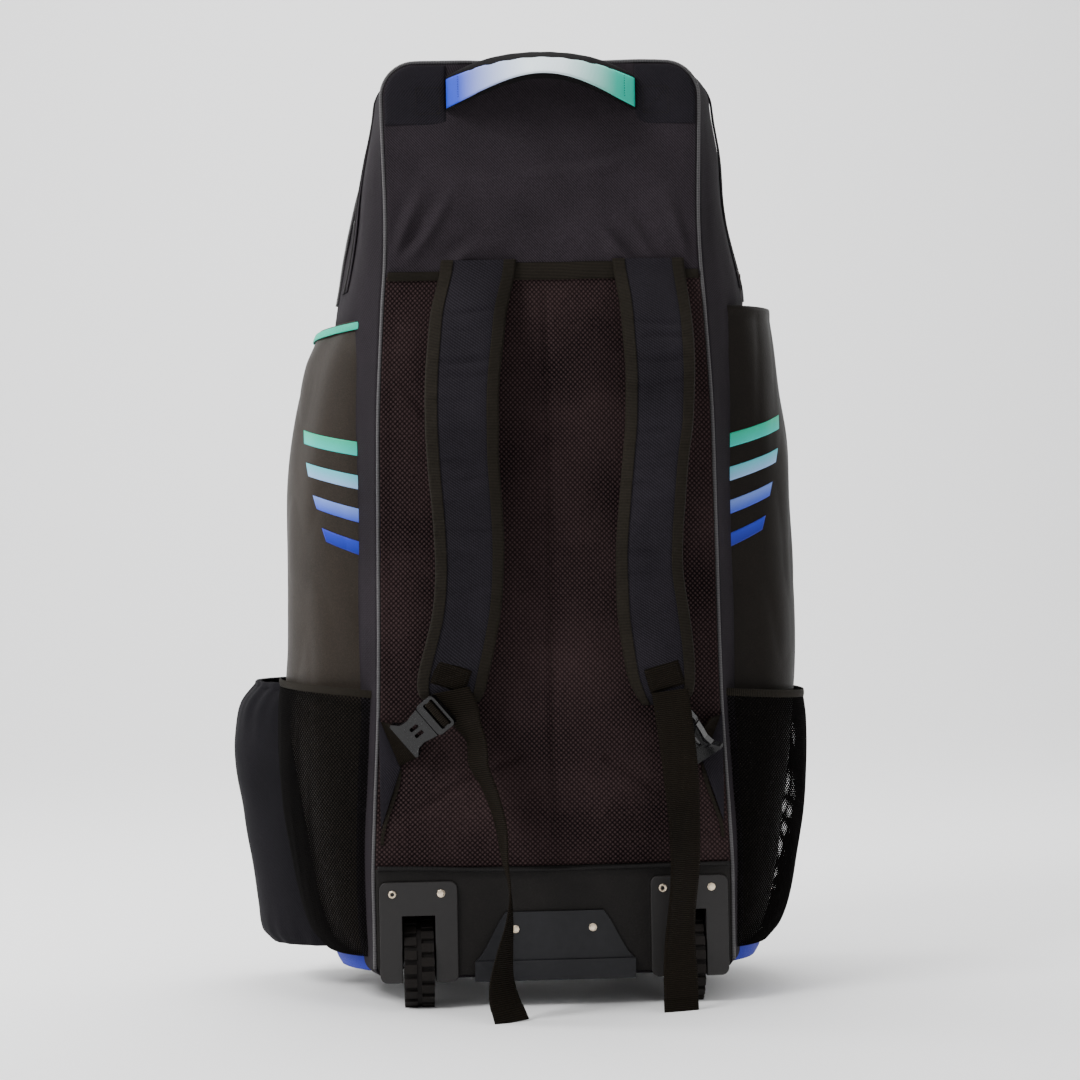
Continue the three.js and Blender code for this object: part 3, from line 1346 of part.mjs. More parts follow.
// What comes in a left and a right copy
const SIDES = [
  {
    name: "left",
    side: -1,
    padRows: PAD_LEFT_ROWS,
    tailRows: TAIL_LEFT_ROWS,
    patch: { down: 0.935, across: -0.5532, lean: -20 },
  },
  {
    name: "right",
    side: 1,
    padRows: PAD_RIGHT_ROWS,
    tailRows: TAIL_RIGHT_ROWS,
    patch: { down: 0.945, across: 0.6144, lean: 16 },
  },
];
SIDES.forEach(({ name, side, padRows, tailRows, patch }) => {
  add(`handle_patch_${name}`, handlePatch(side), polyester);
  const pad = shoulderPad(padRows);
  add(`shoulder_pad_${name}`, pad, polyester);
  const square = strapPatch(padRows, patch).subtract(pad.translate([0, -GAP, 0])).subtract(pad);
  add(`strap_patch_${name}`, square, grosgrain);
  add(`strap_tail_${name}`, strapTail(tailRows), grosgrain);
  add(`anchor_tab_${name}`, anchorTab(side), polyester);
  add(`anchor_webbing_${name}`, anchorWebbing(side), grosgrain);
  add(`bat_sleeve_${name}`, batSleeve(side), coated);
  add(`mesh_pocket_${name}`, meshPocket(side), airMesh);
  add(`mesh_binding_${name}`, meshBinding(side), grosgrain);
  add(`pocket_trim_${name}`, pocketTrim(side), blueTrim);
  add(`wheel_housing_${name}`, wheelHousing(side), hardPlastic);
});
add("sleeve_trim_left", sleeveTrim(), tealTrim);
add("cloth_pocket_left", clothPocket(), polyester);
add("kick_plate", kickPlate(), hardPlastic);

// Buckles, each turned as it hangs: shares of the half back width, of the pads' standoff and of the
// pads' length below their end, and turns in degrees
const BUCKLE_PLACES = [
  { name: "left", across: -0.7048, off: 0.75, down: 0.0482, lean: 140, tilt: 25, roll: 0 },
  { name: "right", across: 0.7553, off: 0.5543, down: 0.0844, lean: 52, tilt: 3, roll: 38 },
];
BUCKLE_PLACES.forEach(({ name, across, off, down, lean, tilt, roll }) => {
  const place = new THREE.Group();
  place.position.set(across * BACK_HALF, -off * PAD_STANDOFF, padEndZ - down * PAD_LENGTH);
  place.rotation.set(0, radians(lean), 0);
  const turned = new THREE.Group();
  turned.rotation.set(radians(roll), 0, radians(tilt));
  place.add(turned);
  add(`buckle_frame_${name}`, buckleFrame(), glossPlastic, turned);
  add(`buckle_socket_${name}`, buckleSocket(), glossPlastic, turned);
  bag.add(place);
});

// Wheels on their axles
SIDES.forEach(({ name, side }) => {
  const place = new THREE.Group();
  place.position.set((side * WHEEL_SPREAD) / 2, wheelCentreY, WHEEL_RADIUS);
  add(`tyre_${name}`, tyre(), rubber, place);
  add(`hub_${name}`, hub(), hardPlastic, place);
  add(`axle_${name}`, axle(), steel, place);
  bag.add(place);
});

// Slider and pull at the right end of the lid's zip
const zipEndZ = SLEEVE_TOP + ZIP_END_RISE;
const zipEndX = bodyHalf(zipEndZ, ZIP_LINE, 1) + ZIP_THICK + 2.5 + GAP;
const zipEnd = new THREE.Group();
zipEnd.position.set(zipEndX, RIM_Y + ZIP_LINE * depthAt(zipEndZ), zipEndZ);
zipEnd.rotation.set(0, 0, radians(90));
add("zip_slider", zipSlider(), nickel, zipEnd);
add("zip_pull", zipPull(), nickel, zipEnd).position.set(0, -3 - GAP, 4);
bag.add(zipEnd);

// Rivets: middle and half width of the plate that each one holds, its place as a share of that half
// width, and its height as a share of the plate's
const rivetY = TRIM_FRONT_Y - HOUSING_WALL - GAP;
const housingMiddle = WHEEL_SPREAD / 2;
const housingHalf = HOUSING_WIDTH / 2;
const leftHousing = { middle: -housingMiddle, half: housingHalf, height: HOUSING_HEIGHT };
const rightHousing = { middle: housingMiddle, half: housingHalf, height: HOUSING_HEIGHT };
const kick = { middle: 0, half: KICK_TOP_WIDTH / 2, height: KICK_HEIGHT };
const RIVETS = [
  { name: "left_outer", plate: leftHousing, across: -0.667, up: 0.848, hollow: true },
  { name: "left_inner", plate: leftHousing, across: 0.58, up: 0.848, hollow: false },
  { name: "right_inner", plate: rightHousing, across: -0.691, up: 0.848, hollow: true },
  { name: "right_outer", plate: rightHousing, across: 0.568, up: 0.848, hollow: false },
  { name: "kick_left", plate: kick, across: -0.804, up: 0.735, hollow: false },
  { name: "kick_right", plate: kick, across: 0.775, up: 0.735, hollow: false },
];
RIVETS.forEach(({ name, plate, across, up, hollow }) => {
  const x = plate.middle + across * plate.half;
  const z = BASE_HEIGHT + up * plate.height;
  add(`rivet_${name}`, rivet(hollow), nickel).position.set(x, rivetY, z);
});

SIDES.forEach(({ name, side }) => {
  const y = BODY_DEPTH - FOOT_SET_IN - FOOT_DEPTH / 2;
  add(`base_foot_${name}`, foot(side, y), rubber);
});

// The bag's origin is the middle of its footprint, on the floor
const footprint = new THREE.Box3().setFromObject(bag);
const middle = footprint.getCenter(new THREE.Vector3());
bag.position.set(-middle.x, -middle.y, -footprint.min.z);

const kitBag = new THREE.Group();
kitBag.add(bag);
export default kitBag;
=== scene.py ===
"""Cricket kit bag on two wheels with a backpack harness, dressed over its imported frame."""

import logging
import math
from dataclasses import dataclass
from enum import Enum
from typing import Callable, Sequence

import bmesh
import bpy
from mathutils import Matrix, Vector, noise


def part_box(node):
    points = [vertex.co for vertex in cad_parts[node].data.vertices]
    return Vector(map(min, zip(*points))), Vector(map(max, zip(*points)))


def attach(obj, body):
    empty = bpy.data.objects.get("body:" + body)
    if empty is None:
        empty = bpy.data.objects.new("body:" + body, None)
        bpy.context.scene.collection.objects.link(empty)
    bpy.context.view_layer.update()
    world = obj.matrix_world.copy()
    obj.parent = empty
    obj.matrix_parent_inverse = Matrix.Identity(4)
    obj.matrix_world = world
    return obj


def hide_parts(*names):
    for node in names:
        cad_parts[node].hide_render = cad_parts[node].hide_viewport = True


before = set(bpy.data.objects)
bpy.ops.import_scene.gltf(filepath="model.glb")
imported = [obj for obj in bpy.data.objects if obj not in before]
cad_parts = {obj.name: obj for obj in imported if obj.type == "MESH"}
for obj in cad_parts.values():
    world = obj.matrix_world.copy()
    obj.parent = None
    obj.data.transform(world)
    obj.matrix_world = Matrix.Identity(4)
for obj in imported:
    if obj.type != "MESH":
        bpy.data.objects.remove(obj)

LOG = logging.getLogger("kit_bag")
GAP = 0.3


class Body(Enum):
    """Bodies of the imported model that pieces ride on."""

    BAG = "bag"
    WHEEL_LEFT = "wheel_left"
    WHEEL_RIGHT = "wheel_right"


class Side(Enum):
    """Left or right copy of a piece, with its sign across the bag."""

    LEFT = -1
    RIGHT = 1

    @property
    def word(self) -> str:
        """Lower case word used in node names."""
        return self.name.lower()


def axle_shift() -> Vector:
    """Shift in millimetres from the bag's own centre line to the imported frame, read from an axle."""
    low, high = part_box("axle_left")
    middle = (low + high) * 500
    return Vector((middle.x + 141.0, middle.y - 34.0, middle.z - 48.0))


SHIFT = axle_shift()


def at(x: float, y: float, z: float) -> Vector:
    """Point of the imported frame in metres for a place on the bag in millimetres."""
    return (Vector((x, y, z)) + SHIFT) / 1000


def lerp(a: float, b: float, t: float) -> float:
    """Value between a and b."""
    return a + (b - a) * t


def clamp(value: float, low: float = 0.0, high: float = 1.0) -> float:
    """Value held between two limits."""
    return max(low, min(high, value))


def ease(t: float) -> float:
    """Smooth step from 0 to 1."""
    t = clamp(t)
    return t * t * (3 - 2 * t)


def hump(distance: float, reach: float) -> float:
    """Bell of height 1 that fades over a reach."""
    return math.exp(-((distance / reach) ** 2))


def ripple(x: float, y: float, z: float, seed: float = 0.0) -> float:
    """Soft seeded noise between about -1 and 1."""
    return noise.noise(Vector((x + seed * 7.3, y - seed * 3.1, z + seed * 1.7)))


@dataclass(frozen=True)
class Table:
    """Rows of numbers with a key first, read with smooth curves between the rows."""

    rows: tuple[tuple[float, ...], ...]

    def value(self, column: int, key: float) -> float:
        """Smoothly interpolated value.

        Args:
            column: Number of the column, the key being column 0.
            key: Place along the key column.

        Returns:
            The value at that place, held at the table's ends.
        """
        rows = self.rows
        if key <= rows[0][0]:
            return rows[0][column]
        if key >= rows[-1][0]:
            return rows[-1][column]
        i = next(n for n in range(1, len(rows)) if rows[n][0] >= key) - 1
        a = rows[i]
        b = rows[i + 1]
        before = rows[max(i - 1, 0)]
        after = rows[min(i + 2, len(rows) - 1)]
        span = b[0] - a[0]
        t = (key - a[0]) / span
        slope_a = (b[column] - before[column]) / (b[0] - before[0]) * span
        slope_b = (after[column] - a[column]) / (after[0] - a[0]) * span
        t2 = t * t
        t3 = t2 * t
        return (
            (2 * t3 - 3 * t2 + 1) * a[column]
            + (t3 - 2 * t2 + t) * slope_a
            + (3 * t2 - 2 * t3) * b[column]
            + (t3 - t2) * slope_b
        )


def linear(red: int, green: int, blue: int) -> tuple[float, float, float, float]:
    """Linear colour of an 8-bit display colour."""
    parts = []
    for part in (red, green, blue):
        share = part / 255
        parts.append(share / 12.92 if share <= 0.04045 else ((share + 0.055) / 1.055) ** 2.4)
    return (parts[0], parts[1], parts[2], 1.0)


Socket = bpy.types.NodeSocket


class Tree:
    """Small helper round one node tree."""

    def __init__(self, tree: bpy.types.NodeTree) -> None:
        """Keeps the tree that nodes are added to."""
        self.tree = tree

    def node(self, kind: str, **inputs: object) -> bpy.types.Node:
        """Adds a node.

        Args:
            kind: Blender's node type without its ShaderNode prefix.
            **inputs: Settings of the node, or of an input when the name starts with in_.

        Returns:
            The new node.
        """
        new = self.tree.nodes.new(kind if kind.startswith("Node") else "ShaderNode" + kind)
        for name, value in inputs.items():
            if name.startswith("in_"):
                self.feed(new.inputs[name[3:].replace("_", " ")], value)
            else:
                setattr(new, name, value)
        return new

    def feed(self, socket: Socket, value: object) -> None:
        """Links a socket or sets its value."""
        if isinstance(value, bpy.types.NodeSocket):
            self.tree.links.new(value, socket)
        else:
            socket.default_value = value

    def math(self, operation: str, a: object, b: object = 0.0, hold: bool = False) -> Socket:
        """Result of one Math node."""
        new = self.node("Math", operation=operation, use_clamp=hold)
        self.feed(new.inputs[0], a)
        self.feed(new.inputs[1], b)
        return new.outputs[0]

    def mix(self, factor: object, a: object, b: object) -> Socket:
        """Colour mixed from a to b by a factor."""
        new = self.node("Mix", data_type="RGBA")
        self.feed(new.inputs[0], factor)
        self.feed(new.inputs[6], a)
        self.feed(new.inputs[7], b)
        return new.outputs[2]

    def ramp(self, factor: Socket, *stops: tuple[float, object]) -> Socket:
        """Colour ramp through stops of (place, colour)."""
        new = self.node("ValToRGB")
        self.feed(new.inputs[0], factor)
        band = new.color_ramp
        while len(band.elements) < len(stops):
            band.elements.new(0.5)
        for element, (place, colour) in zip(band.elements, stops):
            element.position = place
            element.color = colour if isinstance(colour, tuple) else (colour, colour, colour, 1.0)
        return new.outputs[0]

    def group(self, tree: bpy.types.NodeTree, **inputs: object) -> bpy.types.Node:
        """Adds a group node with its inputs set."""
        new = self.tree.nodes.new("ShaderNodeGroup")
        new.node_tree = tree
        for name, value in inputs.items():
            self.feed(new.inputs[name], value)
        return new


def new_group(
    name: str, inputs: Sequence[tuple[str, str]], outputs: Sequence[tuple[str, str]]
) -> tuple[Tree, object, object]:
    """Starts a shader node group.

    Args:
        name: Name of the group.
        inputs: Name and socket type of each input.
        outputs: Name and socket type of each output.

    Returns:
        The tree, its input node and its output node.
    """
    tree = bpy.data.node_groups.new(name, "ShaderNodeTree")
    for label, kind in inputs:
        tree.interface.new_socket(name=label, in_out="INPUT", socket_type="NodeSocket" + kind)
    for label, kind in outputs:
        tree.interface.new_socket(name=label, in_out="OUTPUT", socket_type="NodeSocket" + kind)
    helper = Tree(tree)
    return helper, helper.node("NodeGroupInput"), helper.node("NodeGroupOutput")


def ribs_group() -> bpy.types.NodeTree:
    """Group: parallel ribs along a direction with a pitch in metres; puts out a height from 0 to 1."""
    tree, start, end = new_group(
        "Ribs", [("Place", "Vector"), ("Direction", "Vector"), ("Pitch", "Float")], [("Height", "Float")]
    )
    dot = tree.node("VectorMath", operation="DOT_PRODUCT")
    tree.feed(dot.inputs[0], start.outputs[0])
    tree.feed(dot.inputs[1], start.outputs[1])
    turns = tree.math("DIVIDE", dot.outputs["Value"], start.outputs[2])
    wave = tree.math("SINE", tree.math("MULTIPLY", turns, math.tau))
    tree.feed(end.inputs[0], tree.math("MULTIPLY_ADD", wave, 0.5))
    end.inputs[0].links[0].from_node.inputs[2].default_value = 0.5
    return tree.tree


def tone_group() -> bpy.types.NodeTree:
    """Group: soft worn patches and fine grain; puts out a mask from 0 to 1."""
    tree, start, end = new_group(
        "Tone", [("Place", "Vector"), ("Patch", "Float"), ("Grain", "Float")], [("Mask", "Float")]
    )
    large = tree.node("TexNoise", in_Detail=3.0, in_Roughness=0.55)
    tree.feed(large.inputs["Vector"], start.outputs[0])
    tree.feed(large.inputs["Scale"], start.outputs[1])
    small = tree.node("TexNoise", in_Detail=2.0, in_Roughness=0.6)
    tree.feed(small.inputs["Vector"], start.outputs[0])
    tree.feed(small.inputs["Scale"], start.outputs[2])
    blend = tree.math("MULTIPLY", large.outputs[0], 0.62)
    tree.feed(end.inputs[0], tree.math("MULTIPLY_ADD", small.outputs[0], 0.38))
    tree.feed(end.inputs[0].links[0].from_node.inputs[2], blend)
    return tree.tree


def wear_group() -> bpy.types.NodeTree:
    """Group: bright worn edges of hard pieces; puts out a mask from 0 to 1."""
    tree, start, end = new_group("Edge wear", [("Place", "Vector"), ("Amount", "Float")], [("Mask", "Float")])
    shape = tree.node("NewGeometry")
    edge = tree.ramp(shape.outputs["Pointiness"], (0.5, 0.0), (0.58, 1.0))
    rough = tree.node("TexNoise", in_Scale=160.0, in_Detail=3.0)
    tree.feed(rough.inputs["Vector"], start.outputs[0])
    broken = tree.math("MULTIPLY", edge, rough.outputs[0])
    tree.feed(end.inputs[0], tree.math("MULTIPLY", broken, start.outputs[1], hold=True))
    return tree.tree


RIBS = ribs_group()
TONE = tone_group()
WEAR = wear_group()


class Weave(Enum):
    """How a cloth's threads lie."""

    TWILL = "twill"
    PLAIN = "plain"
    RIB = "rib"
    NET = "net"
    GRAIN = "grain"


@dataclass(frozen=True)
class Cloth:
    """A woven, knitted or coated cloth; its weave follows the piece's own map, in metres."""

    name: str
    slot: str
    dark: tuple[float, float, float, float]
    light: tuple[float, float, float, float]
    weave: Weave = Weave.TWILL
    pitch: float = 0.0016
    relief: float = 0.25
    roughness: float = 0.85
    sheen: float = 0.0
    specular: float = 0.3
    patch: float = 9.0
    across: tuple[tuple[float, tuple[float, float, float, float]], ...] = ()

    def weave_height(self, tree: Tree, place: Socket) -> Socket:
        """Height of the weave from 0 to 1.

        Args:
            tree: The material's tree.
            place: Coordinates in metres.

        Returns:
            The socket that carries the height.
        """
        lean = math.sqrt(0.5)

        def ribs(direction: tuple[float, float, float], pitch: float) -> Socket:
            """Ribs of one direction."""
            return tree.group(RIBS, Place=place, Direction=direction, Pitch=pitch).outputs[0]

        if self.weave is Weave.TWILL:
            fine = ribs((1, 0, 0), self.pitch * 0.8)
            return tree.math(
                "MULTIPLY", ribs((lean, lean, 0), self.pitch), tree.math("MULTIPLY_ADD", fine, 0.4)
            )
        if self.weave is Weave.PLAIN:
            return tree.math("MULTIPLY", ribs((1, 0, 0), self.pitch), ribs((0, 1, 0), self.pitch))
        if self.weave is Weave.RIB:
            return ribs((0, 1, 0), self.pitch)
        if self.weave is Weave.NET:
            holes = tree.math(
                "MULTIPLY", ribs((lean, lean, 0), self.pitch), ribs((lean, -lean, 0), self.pitch)
            )
            return tree.math("POWER", holes, 0.7)
        grain = tree.node("TexVoronoi", feature="SMOOTH_F1", in_Scale=1 / self.pitch, in_Smoothness=0.6)
        tree.feed(grain.inputs["Vector"], place)
        return grain.outputs["Distance"]

    def build(self) -> bpy.types.Material:
        """Builds the material.

        Returns:
            The new material.
        """
        material = bpy.data.materials.new(self.name)
        material.use_nodes = True
        material.node_tree.nodes.clear()
        tree = Tree(material.node_tree)
        spot = tree.node("TexCoord")
        flat = spot.outputs["UV"]
        tone = tree.group(TONE, Place=spot.outputs["Object"], Patch=self.patch, Grain=420.0).outputs[0]
        height = self.weave_height(tree, flat)
        shade = tree.math("MULTIPLY_ADD", tone, 0.75)
        tree.feed(shade.node.inputs[2], tree.math("MULTIPLY", height, 0.55))
        mask = tree.math("SUBTRACT", shade, 0.3, hold=True)
        dark: object = self.dark
        light: object = self.light
        if self.across:
            parts = tree.node("SeparateXYZ")
            tree.feed(parts.inputs[0], flat)
            colour = tree.ramp(parts.outputs[1], *self.across)
            light = colour
            dark = tree.mix(0.14, colour, (0.0, 0.0, 0.0, 1.0))
        shader = tree.node("BsdfPrincipled")
        tree.feed(shader.inputs["Base Color"], tree.mix(mask, dark, light))
        spread = tree.math("MULTIPLY_ADD", tone, -0.16)
        spread.node.inputs[2].default_value = self.roughness + 0.08
        tree.feed(shader.inputs["Roughness"], spread)
        shader.inputs["Specular IOR Level"].default_value = self.specular
        shader.inputs["Sheen Weight"].default_value = self.sheen
        shader.inputs["Sheen Roughness"].default_value = 0.5
        bump = tree.node("Bump", in_Strength=self.relief, in_Distance=0.0006)
        tree.feed(bump.inputs["Height"], height)
        soft = tree.node("TexNoise", in_Scale=70.0, in_Detail=3.0)
        tree.feed(soft.inputs["Vector"], spot.outputs["Object"])
        second = tree.node("Bump", in_Strength=0.2, in_Distance=0.0012)
        tree.feed(second.inputs["Height"], soft.outputs[0])
        tree.feed(second.inputs["Normal"], bump.outputs[0])
        tree.feed(shader.inputs["Normal"], second.outputs[0])
        out = tree.node("OutputMaterial")
        tree.feed(out.inputs[0], shader.outputs[0])
        return material


@dataclass(frozen=True)
class Hard:
    """A moulded plastic, rubber or metal finish with grain and worn edges."""

    name: str
    slot: str
    base: tuple[float, float, float, float]
    worn: tuple[float, float, float, float]
    roughness: float = 0.4
    metallic: float = 0.0
    coat: float = 0.0
    specular: float = 0.5
    grain: float = 900.0
    relief: float = 0.12
    wear: float = 0.7

    def build(self) -> bpy.types.Material:
        """Builds the material.

        Returns:
            The new material.
        """
        material = bpy.data.materials.new(self.name)
        material.use_nodes = True
        material.node_tree.nodes.clear()
        tree = Tree(material.node_tree)
        spot = tree.node("TexCoord").outputs["Object"]
        worn = tree.group(WEAR, Place=spot, Amount=self.wear).outputs[0]
        tone = tree.group(TONE, Place=spot, Patch=22.0, Grain=300.0).outputs[0]
        shader = tree.node("BsdfPrincipled")
        tree.feed(shader.inputs["Base Color"], tree.mix(worn, self.base, self.worn))
        spread = tree.math("MULTIPLY_ADD", tone, 0.22)
        spread.node.inputs[2].default_value = self.roughness - 0.1
        tree.feed(shader.inputs["Roughness"], spread)
        shader.inputs["Metallic"].default_value = self.metallic
        shader.inputs["Coat Weight"].default_value = self.coat
        shader.inputs["Coat Roughness"].default_value = 0.12
        shader.inputs["Specular IOR Level"].default_value = self.specular
        grain = tree.node("TexNoise", in_Scale=self.grain, in_Detail=2.0)
        tree.feed(grain.inputs["Vector"], spot)
        bump = tree.node("Bump", in_Strength=self.relief, in_Distance=0.0003)
        tree.feed(bump.inputs["Height"], grain.outputs[0])
        tree.feed(shader.inputs["Normal"], bump.outputs[0])
        out = tree.node("OutputMaterial")
        tree.feed(out.inputs[0], shader.outputs[0])
        return material


BLUE = linear(44, 70, 200)
PALE_STEEL = linear(222, 236, 243)
TEAL = linear(20, 190, 165)

FINISHES: dict[str, Cloth | Hard] = {
    "polyester": Cloth(
        "Dark polyester twill", "polyester", linear(13, 10, 13), linear(46, 40, 46), pitch=0.0021,
        specular=0.12
    ),
    "panel": Cloth(
        "Upper panel twill", "polyester", linear(11, 9, 11), linear(64, 56, 63), pitch=0.0021, specular=0.12
    ),
    "mesh": Cloth(
        "Air mesh", "air_mesh", linear(2, 1, 2), linear(74, 58, 58), Weave.NET, 0.0036, 0.9, 0.9,
        specular=0.05
    ),
    "net": Cloth(
        "Pocket net", "air_mesh", linear(4, 3, 3), linear(15, 13, 12), Weave.PLAIN, 0.001, specular=0.06
    ),
    "padding": Cloth(
        "Pad twill", "polyester", linear(9, 8, 11), linear(50, 46, 53), pitch=0.0021, relief=0.35,
        specular=0.09
    ),
    # Lit and shaded copies of one coated cloth: the left sleeve's copy is painted lighter, with more
    # specular, for the light falling from the left, and the right sleeve's copy is painted darker for the
    # shade on that side.
    "coated_left": Cloth(
        "Coated left side cloth", "coated_cloth", linear(24, 20, 16), linear(50, 42, 34), Weave.GRAIN,
        0.0011, 0.16, 0.5, specular=0.15,
    ),
    "coated_right": Cloth(
        "Coated right side cloth", "coated_cloth", linear(12, 9, 7), linear(30, 25, 20), Weave.GRAIN,
        0.0011, 0.16, 0.5, specular=0.09,
    ),
    "navy": Cloth(
        "Navy pocket cloth", "polyester", linear(9, 9, 12), linear(34, 31, 36), pitch=0.0018, specular=0.11
    ),
    "base": Cloth(
        "Coated base cloth", "coated_cloth", linear(12, 11, 10), linear(34, 31, 30), Weave.GRAIN, 0.0011,
        0.16, 0.55,
        specular=0.12,
    ),
    "webbing": Cloth(
        "Ribbed webbing", "grosgrain", linear(4, 3, 2), linear(34, 28, 20), Weave.RIB, 0.0021, 0.9, 0.75,
        specular=0.06
    ),
    "binding": Cloth(
        "Ribbed binding", "grosgrain", linear(8, 7, 5), linear(46, 41, 34), Weave.RIB, 0.0015, 0.5, 0.8,
        specular=0.08
    ),
    "cord": Cloth(
        "Silver cord", "silver_cord", linear(24, 23, 24), linear(92, 90, 92), Weave.RIB, 0.0017, 0.35, 0.5,
        specular=0.3,
    ),
    "dark_cord": Cloth(
        "Dark cord", "grosgrain", linear(7, 6, 6), linear(26, 24, 23), Weave.RIB, 0.0017, 0.35, 0.6,
        specular=0.15
    ),
    "grip": Cloth(
        "Grip rubber cloth", "grip_rubber", linear(5, 4, 5), linear(20, 18, 19), Weave.PLAIN, 0.0016, 0.4,
        specular=0.12
    ),
    "colour_webbing": Cloth(
        "Blue to teal webbing", "colour_webbing", BLUE, TEAL, Weave.RIB, 0.0014, 0.3, 0.6,
        across=((0.012, BLUE), (0.085, PALE_STEEL), (0.12, PALE_STEEL), (0.18, TEAL)), specular=0.2,
    ),
    "teal": Cloth(
        "Teal edge", "teal_edge", linear(8, 128, 106), linear(24, 214, 180), Weave.RIB, 0.0014, 0.3, 0.6,
        specular=0.2
    ),
    "blue": Cloth(
        "Blue edge", "blue_edge", linear(20, 26, 110), linear(50, 62, 196), Weave.RIB, 0.0014, 0.3, 0.6,
        specular=0.2
    ),
    "thread": Cloth(
        "Sewing thread", "grosgrain", linear(20, 18, 15), linear(58, 53, 46), Weave.PLAIN, 0.0006, 0.3, 0.8,
        specular=0.1
    ),
    "housing": Hard(
        "Wheel housing plastic", "hard_plastic", linear(22, 20, 20), linear(70, 67, 64), 0.42, specular=0.3,
        wear=0.2
    ),
    "kick": Hard(
        "Kick plate plastic", "hard_plastic", linear(14, 14, 17), linear(64, 64, 68), 0.4, specular=0.22,
        wear=0.15
    ),
    "gloss": Hard(
        "Buckle plastic", "gloss_plastic", linear(3, 3, 4), linear(40, 38, 36), 0.26, coat=0.12,
        specular=0.25, wear=0.06
    ),
    "nickel": Hard("Worn nickel", "nickel", linear(214, 196, 170), linear(240, 226, 206), 0.3, metallic=1.0),
    "dark_metal": Hard(
        "Zip metal", "steel", linear(52, 48, 47), linear(120, 114, 108), 0.36, metallic=1.0, wear=0.4
    ),
    "steel": Hard("Axle steel", "steel", linear(120, 120, 124), linear(180, 180, 184), 0.35, metallic=1.0),
    "tyre": Hard(
        "Tyre rubber", "tyre_rubber", linear(15, 12, 11), linear(44, 39, 35), 0.75, specular=0.15,
        relief=0.3, wear=0.3
    ),
    "rubber": Hard(
        "Foot rubber", "foot_rubber", linear(14, 12, 11), linear(40, 37, 35), 0.75, specular=0.15, wear=0.3
    ),
}

STRIPE_HEIGHT = 0.015
# Name and the colours at the bottom and at the top of each bar, from the lowest bar up
STRIPES = (
    ("Deep blue stripe", linear(20, 34, 140), linear(38, 56, 180)),
    ("Blue stripe", linear(56, 78, 190), linear(112, 140, 212)),
    ("Pale stripe", linear(140, 176, 220), linear(84, 186, 196)),
    ("Teal stripe", linear(34, 186, 176), linear(16, 176, 138)),
)
for number, (title, low_colour, high_colour) in enumerate(STRIPES):
    FINISHES[f"stripe_{number}"] = Cloth(
        title,
        "coated_cloth",
        low_colour,
        high_colour,
        Weave.GRAIN,
        pitch=0.0011,
        relief=0.1,
        roughness=0.45,
        specular=0.2,
        across=((0.0, low_colour), (STRIPE_HEIGHT, high_colour)),
    )

_built: dict[str, bpy.types.Material] = {}


def finish_of(key: str) -> bpy.types.Material:
    """Material of a finish, built on first use."""
    if key not in _built:
        _built[key] = FINISHES[key].build()
    return _built[key]


def settle(
    name: str,
    mesh: bmesh.types.BMesh,
    finish: str,
    nodes: Sequence[str] = (),
    body: Body = Body.BAG,
    smooth: bool = True,
) -> bpy.types.Object:
    """Turns a bmesh into a finished object that rides on a body.

    Args:
        name: Name of the piece.
        mesh: The bmesh, which is freed.
        finish: Key of its finish.
        nodes: CAD nodes that it replaces.
        body: Body that it rides on.
        smooth: Whether its faces are shaded smooth.

    Returns:
        The new object.
    """
    data = bpy.data.meshes.new(name)
    mesh.to_mesh(data)
    mesh.free()
    if smooth:
        data.shade_smooth()
    data.materials.append(finish_of(finish))
    piece = bpy.data.objects.new(name, data)
    bpy.context.scene.collection.objects.link(piece)
    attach(piece, body.value)
    if nodes:
        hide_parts(*nodes)
    LOG.info("%s: %d faces, %s", name, len(data.polygons), finish)
    return piece


def grid(
    columns: int,
    rows: int,
    place: Callable[[float, float], Vector],
    size: tuple[float, float],
    wrap: bool = False,
) -> bmesh.types.BMesh:
    """Grid laid on a surface, with a map in metres.

    Args:
        columns: Faces across.
        rows: Faces up.
        place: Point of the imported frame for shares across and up, each from 0 to 1.
        size: Real width and height of the cloth in metres, for the map.
        wrap: Whether its two sides meet.

    Returns:
        The bmesh.
    """
    mesh = bmesh.new()
    layer = mesh.loops.layers.uv.new("UVMap")
    bmesh.ops.create_grid(mesh, x_segments=columns, y_segments=rows, size=0.5)
    for face in mesh.faces:
        for loop in face.loops:
            loop[layer].uv = ((loop.vert.co.x + 0.5) * size[0], (loop.vert.co.y + 0.5) * size[1])
    for vert in mesh.verts:
        vert.co = place(vert.co.x + 0.5, vert.co.y + 0.5)
    if wrap:
        bmesh.ops.remove_doubles(mesh, verts=mesh.verts, dist=1e-5)
    return mesh


def thicken(piece: bpy.types.Object, thickness: float, offset: float = -1.0) -> None:
    """Gives a sheet a wall in millimetres."""
    wall = piece.modifiers.new("Wall", "SOLIDIFY")
    wall.thickness = thickness / 1000
    wall.offset = offset
    wall.use_even_offset = False


